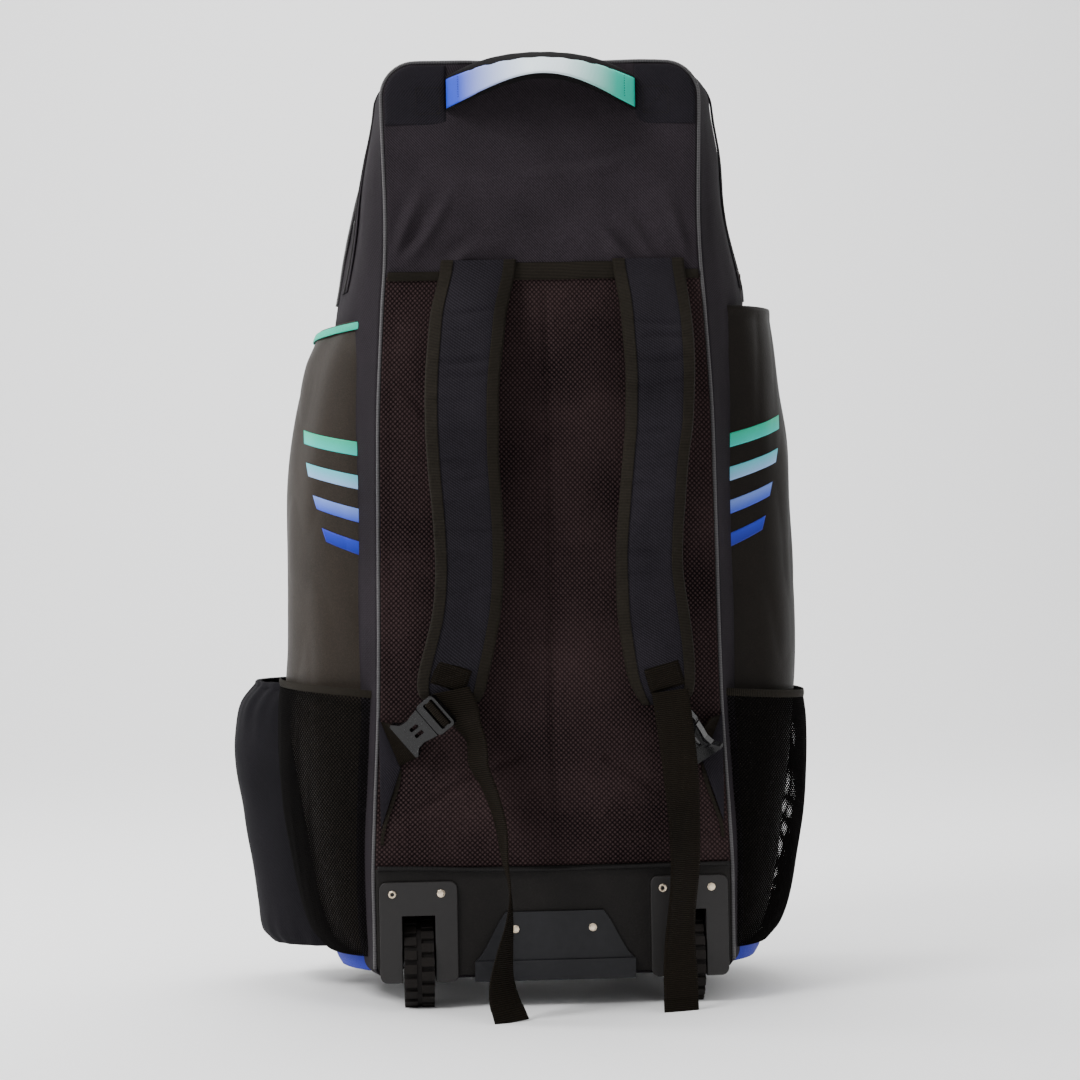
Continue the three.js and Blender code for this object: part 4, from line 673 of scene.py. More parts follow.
def sweep(
    path: Sequence[tuple[Vector, Vector, Vector]],
    outline: Callable[[float, float], tuple[float, float]],
    around: int,
    closed_ends: bool = True,
) -> bmesh.types.BMesh:
    """Closed tube along a path of frames.

    Args:
        path: Centre in metres, width direction and outward direction of each station.
        outline: Width and outward offset in millimetres for shares round the outline and along the path.
        around: Faces round the outline.
        closed_ends: Whether the ends are filled.

    Returns:
        The bmesh, with a map whose first axis runs round and whose second runs along.
    """
    count = len(path) - 1
    lengths = [0.0]
    for first, second in zip(path, path[1:]):
        lengths.append(lengths[-1] + (second[0] - first[0]).length)
    girth = sum(
        math.dist(outline(i / 24, 0.5), outline((i + 1) / 24, 0.5)) for i in range(24)
    ) / 1000

    def place(u: float, v: float) -> Vector:
        """Point of the tube."""
        station = round(v * count)
        centre, wide, outward = path[station]
        across, up = outline(u % 1.0, v)
        return centre + (wide * across + outward * up) / 1000

    mesh = grid(around, count, place, (girth, lengths[-1]), wrap=True)
    if closed_ends:
        edges = [edge for edge in mesh.edges if edge.is_boundary]
        bmesh.ops.holes_fill(mesh, edges=edges, sides=0)
    bmesh.ops.recalc_face_normals(mesh, faces=mesh.faces)
    return mesh


def rounded(
    half_wide: float, half_thick: float, power: float = 4.0
) -> Callable[[float, float], tuple[float, float]]:
    """Rounded flat outline for a sweep."""

    def outline(u: float, _v: float) -> tuple[float, float]:
        """Point of the outline."""
        angle = u * math.tau
        c = math.cos(angle)
        s = math.sin(angle)
        return (
            half_wide * math.copysign(abs(c) ** (2 / power), c),
            half_thick * math.copysign(abs(s) ** (2 / 2.6), s),
        )

    return outline


def smooth_path(points: Sequence[Vector], steps: int) -> list[Vector]:
    """Even points on a smooth curve through some points.

    Args:
        points: Points that the curve passes through.
        steps: Number of stretches wanted.

    Returns:
        steps + 1 points.
    """
    lengths = [0.0]
    for a, b in zip(points, points[1:]):
        lengths.append(lengths[-1] + (b - a).length)
    table = Table(tuple((length, *point) for length, point in zip(lengths, points)))
    total = lengths[-1]
    return [Vector([table.value(axis, total * i / steps) for axis in (1, 2, 3)]) for i in range(steps + 1)]


def framed(points: Sequence[Vector], outward: Vector) -> list[tuple[Vector, Vector, Vector]]:
    """Frames along points whose outward side stays near one direction."""
    frames = []
    for i, point in enumerate(points):
        along = (points[min(i + 1, len(points) - 1)] - points[max(i - 1, 0)]).normalized()
        wide = along.cross(outward).normalized()
        frames.append((point, wide, wide.cross(along).normalized()))
    return frames


def cordlike(
    name: str, points: Sequence[Vector], radius: float, finish: str, nodes: Sequence[str], steps: int = 160
) -> bpy.types.Object:
    """Sewn round cord along points of the bag in millimetres."""
    path = framed(smooth_path([at(*p) for p in points], steps), Vector((0, -1, 0)))

    def outline(u: float, v: float) -> tuple[float, float]:
        """Round outline with slight unevenness."""
        angle = u * math.tau
        r = radius * (1 + 0.03 * math.sin(v * 140))
        return r * math.cos(angle), r * math.sin(angle)

    return settle(name, sweep(path, outline, 10), finish, nodes)


def stitches(
    name: str, points: Sequence[Vector], outward: Vector, pitch: float = 3.2, size: float = 0.55
) -> bpy.types.Object:
    """Row of small thread stitches along points in metres.

    Args:
        name: Name of the piece.
        points: Line of the seam in metres.
        outward: Direction away from the cloth.
        pitch: Length from stitch to stitch in millimetres.
        size: Thickness of the thread in millimetres.

    Returns:
        The new object.
    """
    total = sum((b - a).length for a, b in zip(points, points[1:]))
    count = max(int(total * 1000 / pitch), 2)
    line = smooth_path(points, count)
    mesh = bmesh.new()
    mesh.loops.layers.uv.new("UVMap")
    for a, b in zip(line, line[1:]):
        along = (b - a).normalized()
        wide = along.cross(outward).normalized()
        up = wide.cross(along)
        turn = Matrix((along, wide, up)).transposed().to_4x4()
        turn.translation = (a + b) / 2
        scale = Matrix.Diagonal((pitch * 0.36 / 1000, size / 2000, size / 2000, 1.0))
        bmesh.ops.create_icosphere(mesh, subdivisions=1, radius=1.0, matrix=turn @ scale)
    return settle(name, mesh, "thread")


def softened(
    name: str, node: str, finish: str, bevel: float, body: Body = Body.BAG, segments: int = 2,
    limit: float = 30.0
) -> bpy.types.Object:
    """Copy of a hard CAD node with its edges rounded.

    Args:
        name: Name of the piece.
        node: The CAD node that is copied and replaced.
        finish: Key of its finish.
        bevel: Width of the rounding in millimetres.
        body: Body that it rides on.
        segments: Steps of the rounding.
        limit: Least angle in degrees of an edge that is rounded.

    Returns:
        The new object.
    """
    mesh = bmesh.new()
    mesh.from_mesh(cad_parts[node].data)
    bmesh.ops.remove_doubles(mesh, verts=mesh.verts, dist=2e-6)
    bmesh.ops.dissolve_limit(mesh, angle_limit=math.radians(1.0), verts=mesh.verts, edges=mesh.edges)
    piece = settle(name, mesh, finish, [node], body, smooth=False)
    rounding = piece.modifiers.new("Rounding", "BEVEL")
    rounding.width = bevel / 1000
    rounding.segments = segments
    rounding.limit_method = "ANGLE"
    rounding.angle_limit = math.radians(limit)
    rounding.harden_normals = True
    return piece


def face_out(mesh: bmesh.types.BMesh) -> None:
    """Turns the faces of an open mesh away from the bag's middle."""
    bmesh.ops.recalc_face_normals(mesh, faces=mesh.faces)
    mesh.normal_update()
    middle = at(0, 150, 0)
    outward = 0.0
    for face in mesh.faces:
        arm = face.calc_center_median() - middle
        outward += face.calc_area() * (face.normal.x * arm.x + face.normal.y * arm.y)
    if outward < 0:
        bmesh.ops.reverse_faces(mesh, faces=mesh.faces)
        mesh.normal_update()


def crumple(mesh: bmesh.types.BMesh, amount: Callable[[Vector], float]) -> None:
    """Moves every point along its normal by an amount in millimetres that depends on its place on the bag."""
    face_out(mesh)
    moves = [(vert, vert.normal.copy(), amount(vert.co * 1000 - SHIFT)) for vert in mesh.verts]
    for vert, normal, distance in moves:
        vert.co += normal * distance / 1000


def away_from(x: float, z: float, a: tuple[float, float], b: tuple[float, float]) -> float:
    """Distance in millimetres from a point to a straight line between two places."""
    dx = b[0] - a[0]
    dz = b[1] - a[1]
    t = clamp(((x - a[0]) * dx + (z - a[1]) * dz) / (dx * dx + dz * dz))
    return math.hypot(x - a[0] - t * dx, z - a[1] - t * dz)


@dataclass(frozen=True)
class BodyForm:
    """Form of the soft body in millimetres, from the harness side's rim to the front."""

    height: float = 951.0
    base: float = 36.0
    back_width: float = 376.0
    width: float = 444.0
    depth: float = 318.0
    top_drop: float = 44.0
    edge_round: float = 34.0
    top_corner: float = 37.0
    bottom_corner: float = 18.0
    crown: float = 9.0
    # Height share, then shares of back width, body width and depth
    sections: Table = Table(
        (
            (0.0, 1.0, 0.93, 0.98),
            (0.06, 1.0, 0.985, 1.0),
            (0.125, 1.0, 1.0, 1.0),
            (0.3, 0.957, 1.0, 1.0),
            (0.525, 0.939, 1.0, 0.98),
            (0.62, 0.93, 1.0, 0.95),
            (0.735, 0.897, 0.975, 0.9),
            (0.78, 0.88, 0.95, 0.875),
            (0.834, 0.873, 0.912, 0.84),
            (0.9, 0.88, 0.873, 0.79),
            (0.95, 0.885, 0.842, 0.74),
            (1.0, 0.885, 0.82, 0.69),
        )
    )
    # Depth share, then spread, drop of the top and rounding of the front edge
    rings: Table = Table(
        (
            (0.0, 0.0, 0.0, 0.0),
            (0.09, 0.42, 0.02, 0.0),
            (0.2, 0.75, 0.06, 0.0),
            (0.4, 1.0, 0.16, 0.0),
            (0.66, 1.0, 0.4, 0.0),
            (0.86, 0.94, 0.72, 0.08),
            (0.95, 0.86, 0.88, 0.4),
            (1.0, 0.76, 1.0, 1.0),
        )
    )
    # Height share, then how far the left and the right flank stand out of the even form
    leans: Table = Table(
        (
            (0.0, 0, 0),
            (0.6, 0, 0),
            (0.715, 2, 6),
            (0.755, 0, 11),
            (0.805, 0, 9),
            (0.854, -3, 8),
            (0.9, -7, 8),
            (0.95, -12, 4.5),
            (1.0, -12, 3),
        )
    )
    # Side, height share, depth share, reach and depth of each soft dent
    dents: tuple[tuple[float, ...], ...] = (
        (-1, 0.8, 0.3, 0.05, 5),
        (-1, 0.9, 0.5, 0.05, 4),
        (1, 0.84, 0.36, 0.06, 5),
        (1, 0.93, 0.6, 0.05, 4),
    )

    @property
    def top(self) -> float:
        """Height of the top over the floor."""
        return self.base + self.height

    def depth_at(self, z: float) -> float:
        """Depth of the body at a height."""
        return self.depth * self.sections.value(3, (z - self.base) / self.height)

    def half_at(self, z: float, spread: float, out: float, side: int) -> float:
        """Half width at a height, between the back's width and the body's."""
        share = (z - self.base) / self.height
        back = self.back_width / 2 * self.sections.value(1, share)
        waist = self.width / 2 * self.sections.value(2, share)
        dent = sum(
            row[4] * hump(math.hypot(share - row[1], (out - row[2]) * 0.35), row[3])
            for row in self.dents
            if row[0] == side
        )
        lean = self.leans.value(1 if side < 0 else 2, share)
        return lerp(back, waist + lean, spread) - dent

    def outline_half(self, z: float, inset: float) -> float:
        """Half width of the harness side at a height, with its round top corners."""
        half = self.half_at(z, 0, 0, 1) - inset
        corner = self.top_corner - inset
        over = z - (self.top - self.top_corner)
        if over <= 0:
            return half
        return half - corner + math.sqrt(max(corner * corner - over * over, 0))

    def half_ring(self, s: float, out: float, side: int, lift: float = 0.0) -> Vector:
        """Point on one half of a ring of the body.

        Args:
            s: Share of the way from the middle of the bottom up the side to the middle of the top.
            out: Depth share of the ring.
            side: Sign of the half across the bag.
            lift: Distance outside the body's surface.

        Returns:
            The point in millimetres.
        """
        spread = self.rings.value(1, out)
        shrink = self.rings.value(3, out) * self.edge_round - lift
        top = self.top - self.rings.value(2, out) * self.top_drop - shrink
        bottom = self.base + shrink
        low = self.bottom_corner
        high = self.top_corner

        def half(z: float) -> float:
            """Half width of this ring at a height."""
            return self.half_at(z, spread, out, side) - shrink

        if s < 0.14:
            x = (half(bottom + low) - low) * s / 0.14
            z = bottom
        elif s < 0.2:
            angle = math.radians(-90 + 90 * (s - 0.14) / 0.06)
            x = half(bottom + low) - low + low * math.cos(angle)
            z = bottom + low + low * math.sin(angle)
        elif s < 0.8:
            z = lerp(bottom + low, top - high, (s - 0.2) / 0.6)
            x = half(z)
        elif s < 0.9:
            angle = math.radians(90 * (s - 0.8) / 0.1)
            x = half(top - high) - high + high * math.cos(angle)
            z = top - high + high * math.sin(angle)
        else:
            x = (half(top - high) - high) * (1 - (s - 0.9) / 0.1)
            z = top
        return Vector((side * x, 1 + out * (self.depth_at(z) - 1), z))

    def point(self, u: float, v: float) -> Vector:
        """Point of the body for shares round it and from the rim to the middle of the front."""
        side = 1 if u < 0.5 else -1
        s = u * 2 if u < 0.5 else 2 - u * 2
        if v <= 0.68:
            share = v / 0.68
            out = 1 - (1 - share) ** 1.25
            return at(*self.half_ring(s, out, side))
        t = (v - 0.68) / 0.32
        edge = self.half_ring(s, 1, side)
        middle = (self.base + self.top - self.top_drop) / 2
        z = middle + (edge.z - middle) * (1 - 0.12 * t)
        rise = self.crown * math.sin(t * math.pi / 2)
        y = edge.y + (self.depth_at(z) - self.depth_at(edge.z)) + rise
        return at(edge.x * (1 - t), y, z)

    def over_the_top(self, out: float, start_z: float, lift: float, steps: int = 30) -> list[Vector]:
        """Line on the body from one side over the top to the other, in millimetres."""
        low = next(i / 400 for i in range(80, 400) if self.half_ring(i / 400, out, 1).z >= start_z)
        right = [self.half_ring(lerp(low, 1, i / steps), out, 1, lift) for i in range(steps + 1)]
        left = [self.half_ring(lerp(low, 1, i / steps), out, -1, lift) for i in range(steps)]
        return right + left[::-1]


FORM = BodyForm()
SLEEVE_TOP = 734.0
SEAM_Z = 764.0
MESH_BOTTOM_Z = 151.0
WELL_HALF = 20.5


@dataclass(frozen=True)
class SoftBody:
    """Body cloth with its lid piping and zip."""

    lid_line: float = 0.45
    zip_line: float = 0.3
    tape_share: float = 0.042
    wheel_spread: float = 282.0

    def wrinkle(self, p: Vector) -> float:
        """Soft inward wrinkles of the body's cloth."""
        long_folds = ripple(p.x * 0.012, p.y * 0.011, p.z * 0.007, 1)
        short_folds = ripple(p.x * 0.03, p.y * 0.03, p.z * 0.018, 2)
        crease = abs(ripple(p.y * 0.016, p.z * 0.01, p.x * 0.01, 3)) ** 0.5
        edge = ease((p.y - 2) / 14)
        return (-1.2 + 1.3 * long_folds + 0.6 * short_folds + 1.3 * (crease - 0.6)) * edge

    def build(self) -> None:
        """Builds the body and what is sewn on it."""
        mesh = grid(280, 96, FORM.point, (2.62, 0.62), wrap=True)
        crumple(mesh, self.wrinkle)
        wells = [
            face
            for face in mesh.faces
            if (place := face.calc_center_median() * 1000 - SHIFT).z < 60
            and place.y < 92
            and abs(abs(place.x) - self.wheel_spread / 2) < WELL_HALF
        ]
        bmesh.ops.delete(mesh, geom=wells, context="FACES")
        body = settle("body_cloth", mesh, "polyester", ["main_shell"])
        thicken(body, 2.4)
        line = FORM.over_the_top(self.lid_line, SLEEVE_TOP + 8, -0.6)
        cordlike("lid_cord", line, 1.9, "cord", ["lid_piping"], 200)
        self.tape()
        cordlike(
            "zip_coil", FORM.over_the_top(self.zip_line, SLEEVE_TOP + 20, -0.2), 1.3, "dark_cord", [], 200
        )
        softened("zip_slider_body", "zip_slider", "dark_metal", 0.7)
        softened("zip_pull_tab", "zip_pull", "dark_metal", 0.5)

    def tape(self) -> None:
        """Zip tape that lies on the body."""
        strips = 6
        half = self.tape_share
        rows = [
            FORM.over_the_top(self.zip_line + lerp(-half, half, i / strips), SLEEVE_TOP + 20, -0.5, 60)
            for i in range(strips + 1)
        ]
        count = len(rows[0]) - 1
        mesh = grid(strips, count, lambda u, v: at(*rows[round(u * strips)][round(v * count)]), (0.023, 0.9))
        face_out(mesh)
        piece = settle("zip_tape", mesh, "polyester", ["lid_zip"])
        thicken(piece, 0.8, 0.0)


@dataclass(frozen=True)
class BackPanels:
    """Harness side: upper panel, air mesh, coated base, seam band and pipings."""

    inset: float = 3.2
    wall: float = 2.6
    mesh_crown: float = 7.0
    # Place across, height share, half length, lean and height of each soft fold
    folds: tuple[tuple[float, ...], ...] = (
        (-0.78, 0.17, 38, 66, 3.4),
        (-0.7, 0.1, 20, 48, 2.4),
        (-0.6, 0.24, 32, 60, 2.4),
        (-0.44, 0.06, 24, 36, 3.2),
        (-0.3, 0.1, 20, 24, 1.6),
        (0.42, 0.08, 24, -50, 3.0),
        (0.54, 0.14, 26, -60, 2.0),
        (0.76, 0.18, 32, -72, 2.4),
        (0.1, 0.55, 60, 4, 1.2),
        (-0.2, 0.72, 50, -12, 1.4),
        (0.45, 0.62, 46, 18, 1.4),
    )
    # Sewn channels of the air mesh
    channels: tuple[tuple[tuple[float, float], tuple[float, float]], ...] = (
        ((-176, 690), (-126, 623)),
        ((-126, 623), (-96, 600)),
        ((176, 690), (126, 623)),
        ((-178, 196), (-130, 214)),
        ((-130, 214), (-82, 246)),
        ((-82, 246), (-30, 268)),
        ((178, 176), (155, 194)),
        ((155, 194), (103, 232)),
        ((103, 232), (58, 260)),
    )

    def upper_point(self, u: float, v: float) -> Vector:
        """Point of the upper panel."""
        bottom = SEAM_Z + GAP
        straight = FORM.top - FORM.top_corner
        if v < 0.8:
            z = lerp(bottom, straight, v / 0.8)
        else:
            z = straight + (FORM.top_corner - self.inset) * math.sin(math.radians(88 * (v - 0.8) / 0.2))
        half = FORM.outline_half(z, self.inset)
        x = lerp(-half, half, u)
        near = clamp(min((half - abs(x)) / 14, (z - bottom) / 12, (FORM.top - z) / 16))
        rise = 0.0
        for across, up, length, lean, height in self.folds:
            cx = across * FORM.back_width / 2
            cz = lerp(bottom + 12, straight, up)
            angle = math.radians(lean)
            along = (x - cx) * math.cos(angle) + (z - cz) * math.sin(angle)
            beside = (z - cz) * math.cos(angle) - (x - cx) * math.sin(angle)
            rise += 2.1 * height * hump(along, length) * (hump(beside, 6.5) - 0.5 * hump(beside - 11, 8))
        belly = 2.6 * math.sin(math.pi * clamp((z - bottom) / 210))
        rise += 1.2 * ripple(x * 0.018, 0, z * 0.022, 4) + belly * (1 - (x / half) ** 4 if half > 1 else 0)
        return at(x, -3.0 - rise * near * 0.9, z)

    def crown_at(self, x: float, z: float) -> float:
        """Height of the air mesh's padding."""
        half = FORM.outline_half(z, self.inset)
        across = max(1 - (abs(x) / (half * 0.93)) ** 5, 0)
        ends = clamp(min((z - MESH_BOTTOM_Z - 6) / 70, (SEAM_Z - 12 - z) / 60)) ** 0.6
        seam = 3.4 * hump(x - 1.5, 4.5)
        sewn = sum(hump(away_from(x, z, a, b), 4.5) for a, b in self.channels)
        soft = 0.9 * ripple(x * 0.012, 1, z * 0.01, 5)
        return max(across * ends * (self.mesh_crown - seam - 3.6 * min(sewn, 1.0) + soft), 0)

    def mesh_point(self, u: float, v: float) -> Vector:
        """Point of the air mesh."""
        z = lerp(MESH_BOTTOM_Z, SEAM_Z, v)
        half = FORM.outline_half(z, self.inset)
        x = lerp(-half, half, u)
        return at(x, -3.0 - self.crown_at(x, z), z)

    def base_point(self, u: float, v: float) -> Vector:
        """Point of the coated base panel."""
        z = lerp(FORM.base + 3, MESH_BOTTOM_Z - GAP, v)
        corner = FORM.bottom_corner
        half = FORM.outline_half(z, self.inset) - max(0.0, 1 - (z - FORM.base) / corner) ** 2 * 8
        x = lerp(-half, half, u)
        pull = 0.7 * ripple(x * 0.03, 2, z * 0.02, 6) + 1.1 * hump(
            z - MESH_BOTTOM_Z + 14, 8
        ) * ripple(x * 0.05, 3, 0, 7)
        return at(x, -2.6 - max(pull, -0.4) * clamp((half - abs(x)) / 10), z)

    def build(self) -> None:
        """Builds the harness side."""
        upper = settle(
            "back_panel_cloth", grid(110, 84, self.upper_point, (0.34, 0.23)), "panel", ["back_panel_upper"]
        )
        thicken(upper, self.wall)
        middle = settle(
            "back_air_mesh", grid(150, 240, self.mesh_point, (0.36, 0.613)), "mesh", ["back_panel_mesh"]
        )
        thicken(middle, self.wall)
        base = grid(124, 40, self.base_point, (0.37, 0.112))
        gone = [
            face
            for face in base.faces
            if (place := face.calc_center_median() * 1000 - SHIFT).z < 106
            and abs(abs(place.x) - 141) < WELL_HALF
        ]
        bmesh.ops.delete(base, geom=gone, context="FACES")
        panel = settle("base_panel_cloth", base, "base", ["base_panel"])
        thicken(panel, self.wall)
        self.seam_band()
        self.pipings()
        line = [at(1.5, -3.4 - self.crown_at(1.5, z), z) for z in range(170, 752, 12)]
        stitches("centre_seam_thread", line, Vector((0, -1, 0)), 4.0, 0.5)

    def seam_band(self) -> None:
        """Flat grosgrain band over the seam, taller between the shoulder pads."""

        def place(u: float, v: float) -> Vector:
            """Point of the band."""
            half = FORM.outline_half(SEAM_Z, 4.4)
            x = lerp(-half, half, u)
            tall = ease((x + 33) / 5) * ease((81 - x) / 5)
            low = SEAM_Z - 4.5
            z = lerp(low, low + lerp(9, 18, tall), v) + 0.5 * ripple(x * 0.03, 0, 0, 8)
            bulge = 0.7 * math.sin(math.pi * v)
            return at(x, -3.5 - bulge - 0.3 * ripple(x * 0.06, z * 0.1, 0, 9), z)

        piece = settle("seam_band", grid(160, 8, place, (0.33, 0.018)), "binding", ["top_band"])
        thicken(piece, 1.2, 1.0)

    def pipings(self) -> None:
        """Corded edges of the harness side and of its base."""
        flank = [lerp(FORM.base + 12, FORM.top - FORM.top_corner, i / 30) for i in range(31)]
        reach = FORM.top_corner - 1.1
        right = [Vector((FORM.outline_half(z, 1.1), -1.5, z)) for z in flank]
        start = FORM.top - FORM.top_corner
        edge = FORM.outline_half(start, 1.1) - reach
        for i in range(1, 9):
            angle = math.radians(90 * i / 8)
            right.append(Vector((edge + reach * math.cos(angle), -1.5, start + reach * math.sin(angle))))
        left = [Vector((-p.x, p.y, p.z)) for p in reversed(right)]
        flat = [
            Vector((lerp(edge, -edge, i / 10), -1.5, FORM.top - 1.1 + 0.6 * math.sin(i * 1.7)))
            for i in range(1, 10)
        ]
        cordlike("back_cord", right + flat + left, 1.9, "cord", ["back_piping"], 420)
        half = FORM.outline_half(MESH_BOTTOM_Z, 5)
        rises = (3, 2, 0, -1.5, -2, -1.5, -1, -0.5, 0)
        line = [
            Vector((lerp(-half, half, i / 8), -5.7, MESH_BOTTOM_Z - 2 + rise)) for i, rise in enumerate(rises)
        ]
        cordlike("base_cord", line, 2.4, "dark_cord", ["base_piping"], 120)


@dataclass(frozen=True)
class GrabHandle:
    """Padded grab handle with its colour webbing and corner patches."""

    span: float = 196.0
    up: float = 952.0
    rise: float = 22.0
    standoff: float = 42.0
    tilt: float = 50.0
    grip_width: float = 45.0
    grip_thick: float = 13.0
    webbing_width: float = 30.0
    steps: int = 64

    def station(self, share: float) -> tuple[Vector, Vector, Vector, float]:
        """Centre, width direction, outward direction and arch at a share of the span."""
        arch = math.sin(math.pi * share)
        tilt = math.radians(self.tilt) * arch
        seat = 3.3 + self.grip_thick * 0.3
        y = -lerp(seat, self.standoff, max(arch, 0.0) ** 0.8)
        centre = at(lerp(-self.span / 2, self.span / 2, share), y, self.up + self.rise * arch)
        across = Vector((0, math.sin(tilt), math.cos(tilt)))
        outward = Vector((0, -math.cos(tilt), math.sin(tilt)))
        return centre, across, outward, arch

    def build(self) -> None:
        """Builds the handle."""
        path = [self.station(i / self.steps)[:3] for i in range(self.steps + 1)]

        def grip(u: float, v: float) -> tuple[float, float]:
            """Outline of the padded grip."""
            arch = math.sin(math.pi * v)
            half = self.grip_width / 2 * lerp(0.8, 1, arch)
            thick = self.grip_thick / 2 * lerp(0.5, 1, min(arch * 2, 1)) * (1 + 0.04 * math.sin(v * 60))
            angle = u * math.tau
            c = math.cos(angle)
            s = math.sin(angle)
            return half * math.copysign(abs(c) ** 0.6, c) + 3 * arch, thick * math.copysign(abs(s) ** 0.75, s)

        piece = settle("handle_grip_pad", sweep(path, grip, 28), "grip", ["handle_grip"])

        def web(u: float, v: float) -> Vector:
            """Point of the colour webbing."""
            centre, across, outward, arch = self.station(v)
            lift = self.grip_thick / 2 * lerp(0.5, 1, min(arch * 2, 1)) + 0.6
            share = u * 2 - 1
            fall = 0.9 * abs(share) ** 6
            slip = -6 * arch
            return centre + (
                across * (share * self.webbing_width / 2 + slip) + outward * (lift - fall)
            ) / 1000

        webbing = settle(
            "handle_colour_webbing", grid(16, self.steps, web, (0.03, 0.2)), "colour_webbing",
            ["handle_webbing"]
        )
        thicken(webbing, 1.6, 1.0)
        for share in (0.06, 0.94):
            centre, across, outward, arch = self.station(share)
            lift = self.grip_thick / 2 * lerp(0.5, 1, min(arch * 2, 1)) + 2.3
            line = [centre + (across * t + outward * lift) / 1000 for t in (-12, 0, 12)]
            stitches(f"handle_end_thread_{'left' if share < 0.5 else 'right'}", line, outward, 2.6, 0.6)
        for side in Side:
            self.patch(side)

    def patch(self, side: Side) -> None:
        """Corner patch with a sewn box."""
        inner = self.span / 2 + GAP

        def place(u: float, v: float) -> Vector:
            """Point of the patch."""
            straight = FORM.top - FORM.top_corner
            if v < 0.5:
                z = lerp(921, straight, v / 0.5)
            else:
                z = straight + (FORM.top_corner - 5) * math.sin(math.radians(86 * (v - 0.5) / 0.5))
            half = FORM.outline_half(z, 4.6)
            x = lerp(inner, max(half, inner + 1), u)
            puff = 1.6 * math.sin(math.pi * u) ** 0.5 * math.sin(math.pi * clamp(v, 0.02, 0.98)) ** 0.5
            puff += 0.5 * ripple(x * 0.05, side.value, z * 0.05, 10)
            return at(side.value * x, -3.6 - max(puff, 0), z)

        mesh = grid(20, 24, place, (0.062, 0.061))
        bmesh.ops.recalc_face_normals(mesh, faces=mesh.faces)
        piece = settle(f"handle_patch_cloth_{side.word}", mesh, "padding", [f"handle_patch_{side.word}"])
        thicken(piece, 1.4, 0.0)
        low_x, high_x = (105, 129) if side is Side.LEFT else (107, 133)
        corners = [(low_x, 932), (high_x, 932), (high_x, 959), (low_x, 959), (low_x, 932), (high_x, 959)]
        line = []
        for a, b in zip(corners, corners[1:]):
            line += [
                at(side.value * lerp(a[0], b[0], i / 4), -6.4, lerp(a[1], b[1], i / 4)) for i in range(4)
            ]
        line.append(at(side.value * high_x, -6.4, 959))
        stitches(f"handle_patch_thread_{side.word}", line, Vector((0, -1, 0)), 3.0, 0.7)


